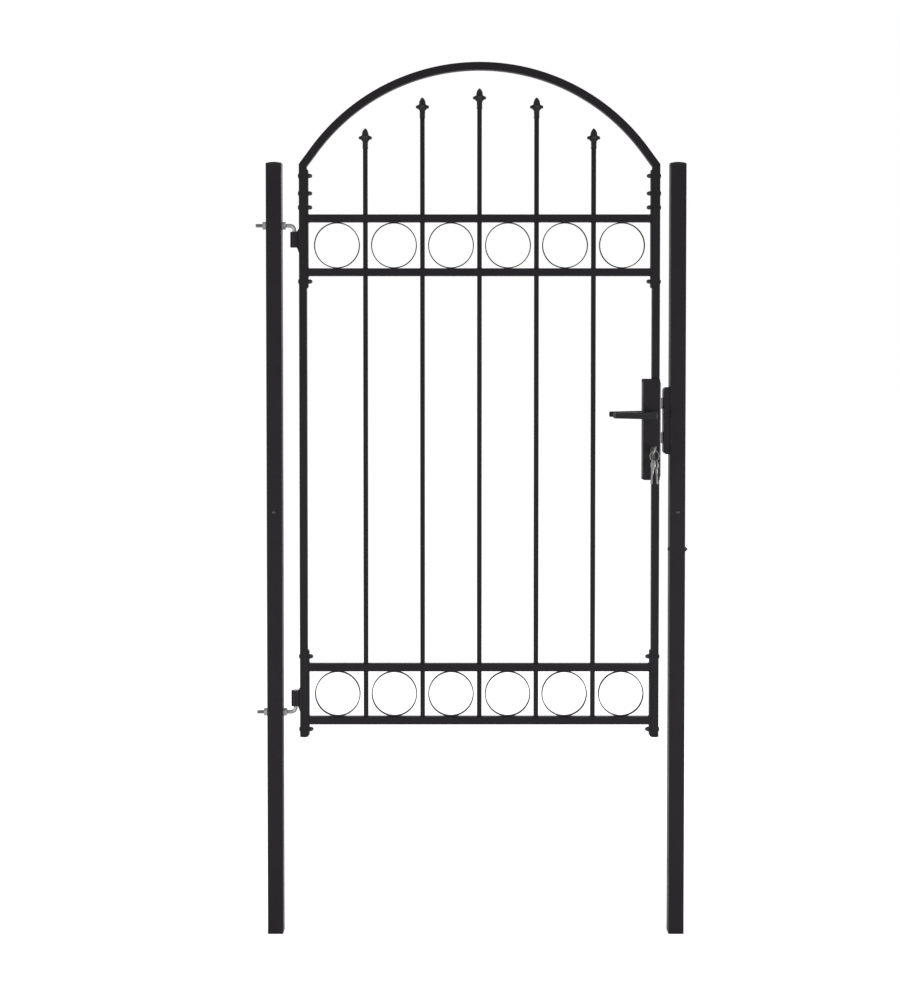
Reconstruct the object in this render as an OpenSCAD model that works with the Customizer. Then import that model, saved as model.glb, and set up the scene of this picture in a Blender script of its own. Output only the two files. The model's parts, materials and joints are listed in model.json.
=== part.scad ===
// Arched steel garden gate: a bolted leaf with ring bands and spear-headed pickets,
// hung on two adjustable pins between square posts, with a lever lock and a keeper.
// X runs from the hinge post to the latch post, -Y is the front, Z is up.
// The origin is the centre of the hinge post's foot.

/* [Posts] */
// Clear width between the two posts
clear_w = 1000; // [900:5:1300]
// Outside width of a square post
post_w = 40; // [36:1:60]
// Wall of a post tube
post_wall = 1.5; // [1:0.1:2.5]
// Radius of a post tube's corners
post_corner_r = 3; // [2:0.5:5]
// Height of a post up to the underside of its cap
post_h = 1990; // [1960:5:2200]
// Height at which the two lengths of a post meet
join_z = 1076; // [1040:1:1150]
// Length of the sleeve inside that joint
sleeve_l = 190; // [180:5:260]
// Wall of the sleeve
sleeve_wall = 1.5; // [1:0.1:2.5]
// Height of a top cap above the tube
cap_h = 10; // [8:1:20]
// Height of a cap's straight rim
cap_rim_h = 4; // [3:0.5:6]
// Thickness of a foot plug's plate
foot_t = 3; // [2:0.5:6]
// Height of a plug inside its tube
plug_h = 18; // [10:1:30]
// Wall of a plug
plug_wall = 2; // [1.5:0.1:3]

/* [Leaf frame] */
// Gap between the hinge post and the leaf
hinge_gap = 44; // [38:1:60]
// Height of the leaf's lower end above the post's foot
leaf_bottom = 510; // [450:5:560]
// Width of the stiles, rails and arch tube
frame_w = 20; // [18:1:25]
// Wall of the frame tubes
frame_wall = 1.2; // [1:0.1:2]
// Radius of the frame tubes' corners
frame_corner_r = 2; // [1.5:0.1:3]
// Height of the leaf at its stiles, up to the arch
stile_h = 1391; // [1350:1:1450]
// Thickness of the plugs' plates under the stiles
stile_plug_t = 3; // [2:0.5:5]
// Height of an arch leg above the stile, up to the kink
arch_leg = 93; // [85:1:140]
// Slope of the arch's straight ends, in degrees
arch_slope = 53.5; // [45:0.5:65]
// Length of the arch's straight ends, on the outside
arch_straight = 53; // [30:1:90]
// Thickness of the end bars that carry the rails
bar_t = 4; // [3:0.5:6]
// Depth of the end bars, front to back
bar_depth = 18; // [14:1:18]
// Distance of the upper end bars' tops below the kink
upper_bar_drop = 12; // [6:1:20]
// Length of the upper end bars below the upper band
upper_bar_tail = 32; // [30:1:60]
// Length of the lower end bars above the lower band
lower_bar_tail = 36; // [30:1:60]

/* [Bands and pickets] */
// Distance between the two rails of a band
band_h = 138.4; // [120:0.2:142]
// Height of the upper band's middle
upper_band_z = 1785.5; // [1780:0.5:1790]
// Height of the lower band's middle
lower_band_z = 623.7; // [620:0.1:640]
// Number of pickets
picket_count = 5; // [3:1:6]
// Width of a square picket
picket_w = 12; // [10:1:14]
// Wall of a picket tube
picket_wall = 1; // [0.8:0.1:1.5]
// Radius of a picket's corners
picket_corner_r = 1.5; // [1:0.1:2]
// Gap between the spear tips and the arch
tip_gap = 46; // [40:1:80]
// Thickness of a ring
ring_t = 2.5; // [2:0.1:4]
// Depth of a ring, front to back
ring_depth = 10; // [6:1:14]

/* [Spearheads] */
// Height of a spearhead above its picket
spear_h = 53; // [50:1:70]
// Height of the pointed bud above its widest part
bud_h = 18; // [16:0.5:24]
// Width of the pointed bud
bud_w = 17; // [15:0.5:20]
// Width across the petals
petal_w = 35; // [32:0.5:40]
// Radius of the petals' ball ends
petal_r = 4.5; // [4:0.1:5]
// Thickness of a petal
petal_t = 6; // [4:0.5:8]
// Distance of the petals' balls below the tip
petal_drop = 25; // [24:0.5:28]
// Height of a petal where it runs into its ball
petal_end = 6; // [4:0.5:7]
// Height of the collar under the petals
collar_h = 17; // [12:0.5:18]
// Width of the collar beyond the picket's, on both sides together
collar_extra = 1.6; // [1:0.1:3]
// Height of a rim on the collar
collar_rim = 2.5; // [2:0.1:4]
// Length of the spigot inside the picket
spigot_l = 12; // [8:1:20]

/* [Bolts] */
// Radius of the bolts through the stiles
bolt_r = 3; // [2.5:0.5:4]
// Distance of a bolt from the end of its tube
bolt_end = 18; // [14:1:22]
// Radius of a bolt's round head
head_r = 6.5; // [5:0.5:8]
// Height of a bolt's round head
head_h = 3.4; // [2:0.1:5]
// Width of a cap nut across its flats
cap_nut_af = 11; // [10:0.5:14]
// Height of a cap nut
cap_nut_h = 10.5; // [8:0.5:14]
// Radius of a post screw's head
screw_head_r = 5; // [4:0.5:6]
// Height of a post screw's head
screw_head_h = 2.4; // [2:0.1:3]
// Length of a post screw
screw_l = 12; // [8:1:16]
// Height of the post screws above the joint
post_screw_up = 22; // [18:1:40]
// Depth of the latch post's through bolt below the joint
post_bolt_down = 76; // [60:1:80]
// Height of the nut on that bolt
post_nut_h = 5; // [4:0.5:6]

/* [Hinges] */
// Distance from the leaf to the hinge axis
hinge_out = 12; // [11.5:0.5:15]
// Radius of the hinge rods
rod_r = 5; // [4:0.5:5]
// Height of the upper hinge rod
upper_rod_z = 1836; // [1800:1:1850]
// Height of the lower hinge rod
lower_rod_z = 576; // [560:1:640]
// Length of thread beyond the post
rod_out = 28; // [22:1:45]
// Chamfer on a rod's two ends
rod_chamfer = 1; // [0.5:0.1:1.5]
// Radius of the bend in a rod, to its middle
bend_r = 12; // [10:1:13]
// Radius of a hinge barrel
barrel_r = 11; // [9:0.5:11]
// Height of a hinge barrel
barrel_h = 40; // [30:1:50]
// Distance from the rod's middle to the barrel
barrel_drop = 16; // [15:1:24]
// Thickness of the thin washer between bend and barrel
pin_washer_t = 1.2; // [1:0.1:1.5]
// Thickness of the weld plate behind a barrel
pad_t = 5.5; // [4:0.5:6]
// Width of that weld plate, front to back
pad_w = 14; // [10:1:16]
// Length of the weld plate's taper above the barrel
pad_up = 9; // [6:1:14]
// Length of the weld plate's taper below the barrel
pad_down = 15; // [6:1:24]
// Width of a hinge nut across its flats
nut_af = 17; // [16:0.5:19]
// Height of a hinge nut
nut_h = 8; // [6:0.5:10]
// Radius of a hinge washer
washer_r = 10.5; // [10:0.5:14]
// Thickness of a hinge washer
washer_t = 2; // [1.5:0.1:3]

/* [Lock] */
// Height of the lock's middle
lock_z = 1311; // [1250:1:1350]
// Width of the lock box
lock_w = 43.5; // [40:0.5:55]
// Depth of the lock box, front to back
lock_depth = 24; // [22:1:30]
// Height of the lock box
lock_h = 247; // [230:1:280]
// Wall of the lock box
lock_wall = 2; // [1.5:0.1:3]
// Depth of the lock case, front to back
case_depth = 16; // [14:0.5:17]
// Gap above and below the lock case in its box
case_gap = 23; // [5:1:30]
// Height of a lock plate
plate_h = 261; // [250:1:290]
// Thickness of a lock plate
plate_t = 6; // [4:0.5:9]
// Radius of a lock plate's corners
plate_corner_r = 3; // [2:0.5:8]
// Thickness of the faceplate on the lock's edge
face_t = 3; // [2:0.5:4]
// Width of the faceplate
face_w = 22; // [18:0.5:22]
// Distance from the faceplate to the spindle
backset = 21; // [20:0.5:24]
// Height of the spindle above the lock's middle
spindle_up = 37; // [30:1:45]
// Distance between spindle and key cylinder
lock_centres = 90; // [85:1:92]
// Height of the latch bolt above the spindle
latch_up = 30; // [28:1:36]
// Height of the dead bolt above the key cylinder
dead_up = 31; // [29:1:34]
// Height of the two bolts
bolt_h = 28; // [22:1:30]
// Thickness of the two bolts
bolt_t = 10; // [8:0.5:11]
// Length of the two bolts inside the lock
bolt_tail = 17; // [12:0.5:20]
// Gap between faceplate and keeper
strike_gap = 7; // [6:0.5:12]
// Gap between the bolts and the keeper
bolt_short = 1; // [0.5:0.5:2]
// Depth of the keeper off its post
keeper_d = 16; // [14:0.5:24]
// Width of the keeper, front to back
keeper_w = 34; // [28:1:36]
// Height of the keeper
keeper_h = 173; // [150:1:200]
// Wall of the keeper
keeper_wall = 2; // [1.5:0.1:3]
// Radius of the keeper's outer corners
keeper_corner_r = 9; // [4:0.5:11]
// Room around a bolt in its hole in the keeper
keeper_play = 2; // [1:0.5:3]

/* [Levers and keys] */
// Length of a lever from the spindle to its tip
lever_l = 106; // [90:1:120]
// Height of a lever at its tip
lever_tip_h = 14; // [10:0.5:16]
// Height of a lever at its hub
lever_hub_h = 19; // [18:0.5:22]
// Thickness of a lever
lever_t = 10; // [8:0.5:14]
// Distance from the lock plate to the back of a lever
lever_reach = 32; // [28:1:45]
// Radius of the bend between a lever and its neck
lever_bend_r = 7; // [4:0.5:8]
// Radius of a lever's neck
neck_r = 8; // [7:0.5:8]
// Radius of the collar between a lever and its plate
lever_collar_r = 10.5; // [10:0.5:12]
// Thickness of that collar
lever_collar_t = 5; // [3:0.5:8]
// Width of the square spindle
spindle_w = 8; // [6:0.5:8]
// Length of the spindle inside a lever's neck, past the plate
spindle_grip = 16; // [10:1:24]
// Thickness of a key
key_t = 2.2; // [1.8:0.1:2.5]
// Radius of a key's bow
bow_r = 12.5; // [10:0.5:15]
// Length of a key's blade
key_blade_l = 32; // [24:1:34]
// Angle at which a key was left in the cylinder
key_turn = 25; // [0:5:45]
// Radius of the key ring, to its wire's middle
key_ring_r = 13; // [11:0.5:18]
// Angle of the key ring about the upright, away from facing front
key_ring_turn = 20; // [0:5:60]

/* [Hidden] */
$fn = 48;
// Facets of a petal's ball, of a ring and a bud, and of the arch
ball_fn = 24;
ring_fn = 96;
arch_fn = 180;
// Overlap that makes a cut run clean through a face
eps = 0.01;
// Overlap that makes a cut run well past a wall
past = 1;
// Clearance of a piece in the hole or tube that holds it
fit = 0.2;
// Radial clearance of a hinge pin in its barrel
run_fit = 0.08;
// Least radius of a tube's inner corners
least_corner_r = 0.3;
// Gap between a turning piece and the face beside it
side_play = 0.4;
coat = [0.13, 0.13, 0.14];
zinc = [0.72, 0.73, 0.74];
plastic = [0.07, 0.07, 0.07];
key_steel = [0.62, 0.62, 0.60];

// Standard profile key cylinder: round part, web and the drop to its lower end
profile_r = 8.5;
profile_w = 10;
profile_drop = 19.5;
// How far the cylinder stands out of the lock plate
cylinder_proud = 3;

// Corners cut off a lever's tip, and the thickness of the latch bolt's nose at its end
lever_tip_cut = 2;
latch_nose_t = 2;

// Width of a key's blade and of its shoulder, and the length of that shoulder
blade_w = 8;
shoulder_w = 11;
shoulder_l = 8;
// Radius of the hole in a key's bow and its distance from the bow's edge
key_hole_r = 3;
key_hole_in = 5;
// Radius of the key ring's wire
ring_wire_r = 0.9;
// Angle between the hanging keys on the ring, and their own tilt, to each side
key_spread = 12;
key_splay = 6;
// How far the ring hangs down in the hole of the key that holds it
ring_drop = 0.7;
// Gap between the ring's wire and the hole of a hanging key
key_seat = 0.3;
key_drop = key_hole_r - ring_wire_r - key_seat;

latch_post_x = clear_w + post_w;
leaf_x0 = post_w / 2 + hinge_gap;
leaf_x1 = latch_post_x - post_w / 2 - keeper_d - strike_gap - face_t;
leaf_mid = (leaf_x0 + leaf_x1) / 2;
half_leaf = (leaf_x1 - leaf_x0) / 2;
panel_x0 = leaf_x0 + frame_w + bar_t;
panel_x1 = leaf_x1 - frame_w - bar_t;
pitch = (panel_x1 - panel_x0) / (picket_count + 1);
stile_foot = leaf_bottom + stile_plug_t;
stile_top = leaf_bottom + stile_h;
spring_z = stile_top + arch_leg;
arch_rise = tan(arch_slope / 2) * (half_leaf + arch_straight);
arch_r = (half_leaf - arch_straight * cos(arch_slope)) / sin(arch_slope);
arch_mid_z = spring_z + arch_rise - arch_r;
tip_r = arch_r - frame_w - tip_gap;
rail_from_mid = band_h / 2 + frame_w / 2;
upper_bar_top = spring_z - upper_bar_drop;
upper_bar_bottom = upper_band_z - rail_from_mid - upper_bar_tail;
lower_bar_top = lower_band_z + rail_from_mid + lower_bar_tail;
lower_bar_bottom = stile_foot;
picket_foot = lower_band_z - rail_from_mid;
hinge_x = leaf_x0 - hinge_out;
pin_washer_r = hinge_out - pad_t - side_play;
box_x0 = leaf_x1 - lock_w;
spindle_x = leaf_x1 + face_t - backset;
spindle_z = lock_z + spindle_up;
cylinder_z = spindle_z - lock_centres;
latch_z = spindle_z + latch_up;
dead_z = cylinder_z + dead_up;
keeper_z = (latch_z + dead_z) / 2;
keeper_x0 = latch_post_x - post_w / 2 - keeper_d;
bolt_out = strike_gap - bolt_short;
latch_travel = bolt_out + 1;
plate_y = lock_depth / 2 + plate_t;
cylinder_y = plate_y + cylinder_proud;
lever_y = plate_y + lever_reach;
bow_y = past - shoulder_l - bow_r;
key_hole_y = bow_y - bow_r + key_hole_in;
// Heights of the bolts on one side of the leaf
side_bolts = [upper_bar_top - bolt_end, stile_top + bolt_end, stile_top - bolt_end,
    upper_bar_bottom + bolt_end, lower_bar_top - bolt_end, lower_bar_bottom + bolt_end];

function picket_x(i) = panel_x0 + pitch * i;
function tip_z(i) = arch_mid_z + sqrt(pow(tip_r, 2) - pow(picket_x(i) - leaf_mid, 2));

// ---- shared forms ----

module rounded_oblong(w, h, r) {
    square([w - 2 * r, h], center = true);
    square([w, h - 2 * r], center = true);
    for (x = [-1, 1], y = [-1, 1])
        translate([x * (w / 2 - r), y * (h / 2 - r)]) circle(r);
}

// Upright square tube with rounded corners, centred on the origin
module tube(w, wall, r, h) {
    linear_extrude(h) difference() {
        rounded_oblong(w, w, r);
        rounded_oblong(w - 2 * wall, w - 2 * wall, max(r - wall, least_corner_r));
    }
}

// Hollow plug that stands inside a square tube of a given width, wall and corner
module plug(w, wall, r, h) {
    tube(w - 2 * wall - 2 * fit, plug_wall, r, h);
}

// Round bar or hole along X, from x0 to x1
module along_x(r, x0, x1) {
    translate([x0, 0, 0]) rotate([0, 90, 0]) cylinder(r = r, h = x1 - x0);
}

// Round bar or hole along Y, from y0 to y1
module along_y(r, y0, y1) {
    translate([0, y0, 0]) rotate([-90, 0, 0]) cylinder(r = r, h = y1 - y0);
}

// Hexagon nut that rises along Z, with its corners chamfered on both faces
module hex_nut(af, h) {
    corner = af / sqrt(3);
    chamfer = (corner - af / 2) / 2;
    intersection() {
        cylinder(r = corner, h = h, $fn = 6);
        rotate_extrude() polygon([[0, 0], [af / 2, 0], [corner, chamfer],
            [corner, h - chamfer], [af / 2, h], [0, h]]);
    }
}

// Dome that rises along Z from a flat round base
module dome(r, h) {
    ball = (r * r + h * h) / (2 * h);
    intersection() {
        translate([0, 0, h - ball]) sphere(ball);
        cylinder(r = r, h = h + eps);
    }
}

// ---- posts ----

module post_holes(x) {
    if (x == 0)
        for (z = [upper_rod_z, lower_rod_z])
            translate([0, 0, z]) along_x(rod_r + fit, -post_w, post_w);
    else
        translate([x, 0, join_z - post_bolt_down]) along_x(bolt_r + fit, -post_w, post_w);
    translate([x, 0, join_z + post_screw_up]) along_y(bolt_r + fit, -post_w, 0);
}

module post_length(x, z0, z1) {
    color(coat) difference() {
        translate([x, 0, z0]) tube(post_w, post_wall, post_corner_r, z1 - z0);
        post_holes(x);
    }
}

module hinge_post_lower() post_length(0, foot_t, join_z);
module hinge_post_upper() post_length(0, join_z, post_h);
module latch_post_lower() post_length(latch_post_x, foot_t, join_z);
module latch_post_upper() post_length(latch_post_x, join_z, post_h);

module post_sleeves() {
    color(coat) for (x = [0, latch_post_x]) difference() {
        translate([x, 0, join_z - sleeve_l / 2])
            tube(post_w - 2 * post_wall - 2 * fit, sleeve_wall, post_corner_r, sleeve_l);
        post_holes(x);
    }
}

// A straight rim under a shallow dome that is cut off square
module cap_top() {
    intersection() {
        linear_extrude(cap_h) rounded_oblong(post_w, post_w, post_corner_r);
        union() {
            cylinder(r = post_w, h = cap_rim_h);
            translate([0, 0, cap_rim_h - eps]) dome(post_w / sqrt(2), cap_h - cap_rim_h + eps);
        }
    }
}

module post_caps() {
    color(plastic) for (x = [0, latch_post_x]) translate([x, 0, post_h]) {
        cap_top();
        translate([0, 0, -plug_h]) plug(post_w, post_wall, post_corner_r, plug_h);
    }
}

module post_feet() {
    color(plastic) for (x = [0, latch_post_x]) translate([x, 0, 0]) {
        linear_extrude(foot_t) rounded_oblong(post_w, post_w, post_corner_r);
        translate([0, 0, foot_t]) plug(post_w, post_wall, post_corner_r, plug_h);
    }
}

// Screws that pin the lengths of a post to the sleeve, and a bolt through the latch post
module post_bolts() {
    half = post_w / 2;
    shank_out = post_nut_h + bolt_r;
    color(coat) {
        for (x = [0, latch_post_x])
            translate([x, 0, join_z + post_screw_up]) {
                along_y(bolt_r, -half - eps, screw_l - half);
                translate([0, -half, 0]) rotate([90, 0, 0]) dome(screw_head_r, screw_head_h);
            }
        translate([latch_post_x, 0, join_z - post_bolt_down]) {
            along_x(bolt_r, -half - eps, half + shank_out);
            translate([-half, 0, 0]) rotate([0, -90, 0]) dome(head_r, head_h);
            translate([half, 0, 0]) rotate([0, 90, 0]) hex_nut(cap_nut_af, post_nut_h);
        }
    }
}

// Side outline of the keeper or of its hollow, with the outer corners rounded
module keeper_outline(inset) {
    r = keeper_corner_r - inset;
    intersection() {
        square([keeper_d, keeper_h]);
        union() {
            translate([inset + r, inset]) square([keeper_d, keeper_h - 2 * inset]);
            translate([inset, inset + r]) square([keeper_d, keeper_h - 2 * (inset + r)]);
            for (z = [inset + r, keeper_h - inset - r]) translate([inset + r, z]) circle(r);
        }
    }
}

module keeper() {
    hollow_w = keeper_w - 2 * keeper_wall;
    hole_w = bolt_t + 2 * keeper_play;
    hole_h = bolt_h + 2 * keeper_play;
    color(coat) translate([keeper_x0, 0, keeper_z]) difference() {
        translate([0, keeper_w / 2, -keeper_h / 2]) rotate([90, 0, 0])
            linear_extrude(keeper_w) keeper_outline(0);
        translate([eps, hollow_w / 2, -keeper_h / 2]) rotate([90, 0, 0])
            linear_extrude(hollow_w) keeper_outline(keeper_wall);
        for (z = [latch_z, dead_z])
            translate([-past, -hole_w / 2, z - keeper_z - hole_h / 2])
                cube([keeper_wall + 2 * past, hole_w, hole_h]);
    }
}

// ---- hinges ----

// Chamfered end of a rod, which narrows along Z
module rod_end() {
    cylinder(r1 = rod_r, r2 = rod_r - rod_chamfer, h = rod_chamfer);
}

// Rod through the post that bends into a pin, drawn with the pin upwards
module bent_rod() {
    thread_x = -post_w / 2 - rod_out + rod_chamfer;
    pin_top = barrel_drop + barrel_h - rod_chamfer;
    along_x(rod_r, thread_x, hinge_x - bend_r);
    translate([thread_x, 0, 0]) rotate([0, -90, 0]) rod_end();
    translate([hinge_x - bend_r, 0, bend_r]) rotate([90, 0, 0]) rotate([0, 0, -90])
        rotate_extrude(angle = 90) translate([bend_r, 0]) circle(rod_r);
    translate([hinge_x, 0, bend_r]) cylinder(r = rod_r, h = pin_top - bend_r);
    translate([hinge_x, 0, pin_top]) rod_end();
}

// Thin washer that rides on the pin just short of the barrel
module pin_washer() {
    translate([hinge_x, 0, barrel_drop - side_play - pin_washer_t]) difference() {
        cylinder(r = pin_washer_r, h = pin_washer_t);
        translate([0, 0, -past]) cylinder(r = rod_r + fit, h = pin_washer_t + 2 * past);
    }
}

module hinge_pin(z, up) {
    color(zinc) translate([0, 0, z]) mirror([0, 0, up ? 0 : 1]) {
        bent_rod();
        pin_washer();
    }
}

module upper_hinge_pin() hinge_pin(upper_rod_z, false);
module lower_hinge_pin() hinge_pin(lower_rod_z, true);

// Washer and nut on each side of the post
module hinge_nuts(z) {
    color(zinc) translate([0, 0, z]) for (side = [0, 1]) mirror([side, 0, 0]) difference() {
        union() {
            along_x(washer_r, post_w / 2, post_w / 2 + washer_t);
            translate([post_w / 2 + washer_t, 0, 0]) rotate([0, 90, 0]) hex_nut(nut_af, nut_h);
        }
        along_x(rod_r + run_fit, 0, post_w);
    }
}

module upper_hinge_nuts() hinge_nuts(upper_rod_z);
module lower_hinge_nuts() hinge_nuts(lower_rod_z);

// Barrel on the leaf with a tapered weld plate behind it, from z up
module hinge_barrel(z) {
    color(coat) translate([0, 0, z]) difference() {
        union() {
            translate([hinge_x, 0, 0]) cylinder(r = barrel_r, h = barrel_h);
            translate([0, pad_w / 2, 0]) rotate([90, 0, 0]) linear_extrude(pad_w) polygon([
                [leaf_x0, -pad_down], [leaf_x0 - pad_t, 0], [hinge_x, 0],
                [hinge_x, barrel_h], [leaf_x0 - pad_t, barrel_h],
                [leaf_x0, barrel_h + pad_up]]);
        }
        translate([hinge_x, 0, -past]) cylinder(r = rod_r + run_fit, h = barrel_h + 2 * past);
    }
}

module upper_hinge_barrel() hinge_barrel(upper_rod_z - barrel_drop - barrel_h);
module lower_hinge_barrel() hinge_barrel(lower_rod_z + barrel_drop);

// ---- leaf frame ----

module side_bolt_holes() {
    for (z = side_bolts) translate([0, 0, z])
        along_x(bolt_r + fit, leaf_x0 - past, leaf_x1 + past);
}

module stile_tube(x, z0, z1) {
    translate([x, 0, z0]) tube(frame_w, frame_wall, frame_corner_r, z1 - z0);
}

module hinge_stile() {
    color(coat) difference() {
        stile_tube(leaf_x0 + frame_w / 2, stile_foot, stile_top);
        side_bolt_holes();
    }
}

// The lock box stands between the two lengths of the lock stile
module lock_stile() {
    x = leaf_x1 - frame_w / 2;
    color(coat) difference() {
        union() {
            stile_tube(x, stile_foot, lock_z - lock_h / 2);
            stile_tube(x, lock_z + lock_h / 2, stile_top);
        }
        side_bolt_holes();
    }
}

// Rounded plugs that close the stiles from below, held short of the lowest bolts
module stile_plugs() {
    stem_h = bolt_end - bolt_r - 2 * fit;
    color(plastic) for (x = [leaf_x0 + frame_w / 2, leaf_x1 - frame_w / 2])
        translate([x, 0, leaf_bottom]) {
            intersection() {
                linear_extrude(stile_plug_t) rounded_oblong(frame_w, frame_w, frame_corner_r);
                translate([0, 0, stile_plug_t]) mirror([0, 0, 1])
                    dome(frame_w / sqrt(2), stile_plug_t);
            }
            translate([0, 0, stile_plug_t - eps])
                plug(frame_w, frame_wall, frame_corner_r, stem_h);
        }
}

// Point where the arch's straight end meets its leg, at a depth in from the outside
function kink(d) =
    let (along = (half_leaf - d - (arch_r - d) * sin(arch_slope)) / cos(arch_slope))
    [half_leaf - d, arch_mid_z + (arch_r - d) * cos(arch_slope) - along * sin(arch_slope)];

// Point where the arch's curve runs into its straight end
function tangent(d) =
    [(arch_r - d) * sin(arch_slope), arch_mid_z + (arch_r - d) * cos(arch_slope)];

// Square bar that follows the arch between two depths in from the outside
module arch_bar(d0, d1, foot) {
    depth = d1 - d0;
    for (side = [0, 1]) mirror([side, 0, 0]) translate([0, depth / 2, 0]) rotate([90, 0, 0])
        linear_extrude(depth) polygon([tangent(d0), kink(d0), [half_leaf - d0, foot],
            [half_leaf - d1, foot], kink(d1), tangent(d1)]);
    translate([0, 0, arch_mid_z]) rotate([90, 0, 0]) rotate([0, 0, 90 - arch_slope])
        rotate_extrude(angle = 2 * arch_slope, $fn = arch_fn)
            translate([arch_r - d1, -depth / 2]) square([depth, depth]);
}

module arch() {
    color(coat) difference() {
        translate([leaf_mid, 0, 0]) arch_bar(0, frame_w, stile_top);
        translate([leaf_mid, 0, 0]) arch_bar(frame_wall, frame_w - frame_wall, stile_top - past);
        side_bolt_holes();
    }
}

// A pair of flat bars with chamfered ends, against the inner faces of the stiles
module end_bars(z0, z1) {
    color(coat) difference() {
        for (side = [0, 1]) translate([leaf_mid, bar_depth / 2, 0]) mirror([side, 0, 0])
            rotate([90, 0, 0]) linear_extrude(bar_depth) polygon([
                [half_leaf - frame_w, z0],
                [half_leaf - frame_w, z1],
                [half_leaf - frame_w - bar_t, z1 - bar_t],
                [half_leaf - frame_w - bar_t, z0 + bar_t]]);
        side_bolt_holes();
    }
}

module upper_end_bars() end_bars(upper_bar_bottom, upper_bar_top);
module lower_end_bars() end_bars(lower_bar_bottom, lower_bar_top);

module rail(z) {
    hole_w = picket_w + 2 * fit;
    color(coat) difference() {
        translate([panel_x0, 0, z]) rotate([0, 90, 0])
            tube(frame_w, frame_wall, frame_corner_r, panel_x1 - panel_x0);
        for (i = [1 : picket_count]) translate([picket_x(i), 0, z])
            cube([hole_w, hole_w, frame_w + 2 * past], center = true);
    }
}

module upper_band_top_rail() rail(upper_band_z + band_h / 2);
module upper_band_bottom_rail() rail(upper_band_z - band_h / 2);
module lower_band_top_rail() rail(lower_band_z + band_h / 2);
module lower_band_bottom_rail() rail(lower_band_z - band_h / 2);

module picket(i) {
    color(coat) translate([picket_x(i), 0, picket_foot])
        tube(picket_w, picket_wall, picket_corner_r, tip_z(i) - spear_h - picket_foot);
}

module picket_1() picket(1);
module picket_2() picket(2);
module picket_3() picket(3);
module picket_4() picket(4);
module picket_5() picket(5);

// Pointed oval between two arcs, with its middle at the origin
module bud_outline() {
    r = (bud_h * bud_h + bud_w * bud_w / 4) / bud_w;
    intersection() {
        translate([r - bud_w / 2, 0]) circle(r, $fn = ring_fn);
        translate([bud_w / 2 - r, 0]) circle(r, $fn = ring_fn);
    }
}

// Half outline of a pair of petals, from the collar out to the balls and up into the bud
module petal_outline() {
    ball_x = petal_w / 2 - petal_r;
    ball_z = spear_h - petal_drop;
    polygon([[0, collar_h - eps], [picket_w / 2, collar_h - eps],
        [ball_x, ball_z - petal_end / 2], [ball_x, ball_z + petal_end / 2],
        [bud_w / 2, spear_h - bud_h], [0, spear_h - bud_h]]);
}

// Cast head with a four-sided bud, four petals and a rimmed collar over a spigot
module spearhead() {
    collar_w = picket_w + collar_extra;
    spigot_w = picket_w - 2 * picket_wall - 2 * fit;
    translate([0, 0, spear_h - bud_h]) intersection_for (turn = [0, 90])
        rotate([90, 0, turn]) translate([0, 0, -bud_w])
            linear_extrude(2 * bud_w) bud_outline();
    for (turn = [0 : 90 : 270]) rotate([0, 0, turn]) {
        translate([0, petal_t / 2, 0]) rotate([90, 0, 0]) linear_extrude(petal_t) petal_outline();
        translate([petal_w / 2 - petal_r, 0, spear_h - petal_drop]) sphere(petal_r, $fn = ball_fn);
    }
    linear_extrude(collar_h) square(collar_w, center = true);
    for (z = [0, collar_h - collar_rim]) translate([0, 0, z])
        linear_extrude(collar_rim) square(collar_w + collar_extra / 2, center = true);
    translate([0, 0, -spigot_l]) linear_extrude(spigot_l + eps) square(spigot_w, center = true);
}

module spearheads() {
    color(coat) for (i = [1 : picket_count])
        translate([picket_x(i), 0, tip_z(i) - spear_h]) spearhead();
}

module rings(z) {
    ring_r = (band_h - frame_w - fit) / 2;
    color(coat) for (i = [0 : picket_count])
        translate([picket_x(i) + pitch / 2, ring_depth / 2, z]) rotate([90, 0, 0])
            linear_extrude(ring_depth) difference() {
                circle(ring_r, $fn = ring_fn);
                circle(ring_r - ring_t, $fn = ring_fn);
            }
}

module upper_rings() rings(upper_band_z);
module lower_rings() rings(lower_band_z);

// Round-headed bolt with a cap nut; the head is on the leaf's outer face
module side_bolt() {
    grip = frame_w + bar_t;
    hex_h = cap_nut_h / 2;
    along_x(bolt_r, -eps, grip + hex_h);
    rotate([0, -90, 0]) dome(head_r, head_h);
    translate([grip, 0, 0]) rotate([0, 90, 0]) hex_nut(cap_nut_af, hex_h);
    translate([grip + hex_h - eps, 0, 0]) rotate([0, 90, 0])
        dome(cap_nut_af / 2 - fit, cap_nut_h - hex_h);
}

module hinge_side_bolts() {
    color(coat) for (z = side_bolts) translate([leaf_x0, 0, z]) side_bolt();
}

module lock_side_bolts() {
    color(coat) for (z = side_bolts) translate([leaf_x1, 0, z]) mirror([1, 0, 0]) side_bolt();
}

// ---- lock ----

// Passage of a profile key cylinder, front to back, grown by an amount
module cylinder_cut(y, grow) {
    translate([spindle_x, y, cylinder_z]) rotate([90, 0, 0]) linear_extrude(2 * y) {
        circle(profile_r + grow);
        translate([-profile_w / 2 - grow, -profile_drop])
            square([profile_w + 2 * grow, profile_drop]);
        translate([0, -profile_drop]) circle(profile_w / 2 + grow);
    }
}

// Holes for the two bolts, from x0 to x1
module bolt_passages(x0, x1) {
    for (z = [latch_z, dead_z])
        translate([x0, -bolt_t / 2 - fit, z - bolt_h / 2 - fit])
            cube([x1 - x0, bolt_t + 2 * fit, bolt_h + 2 * fit]);
}

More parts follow.
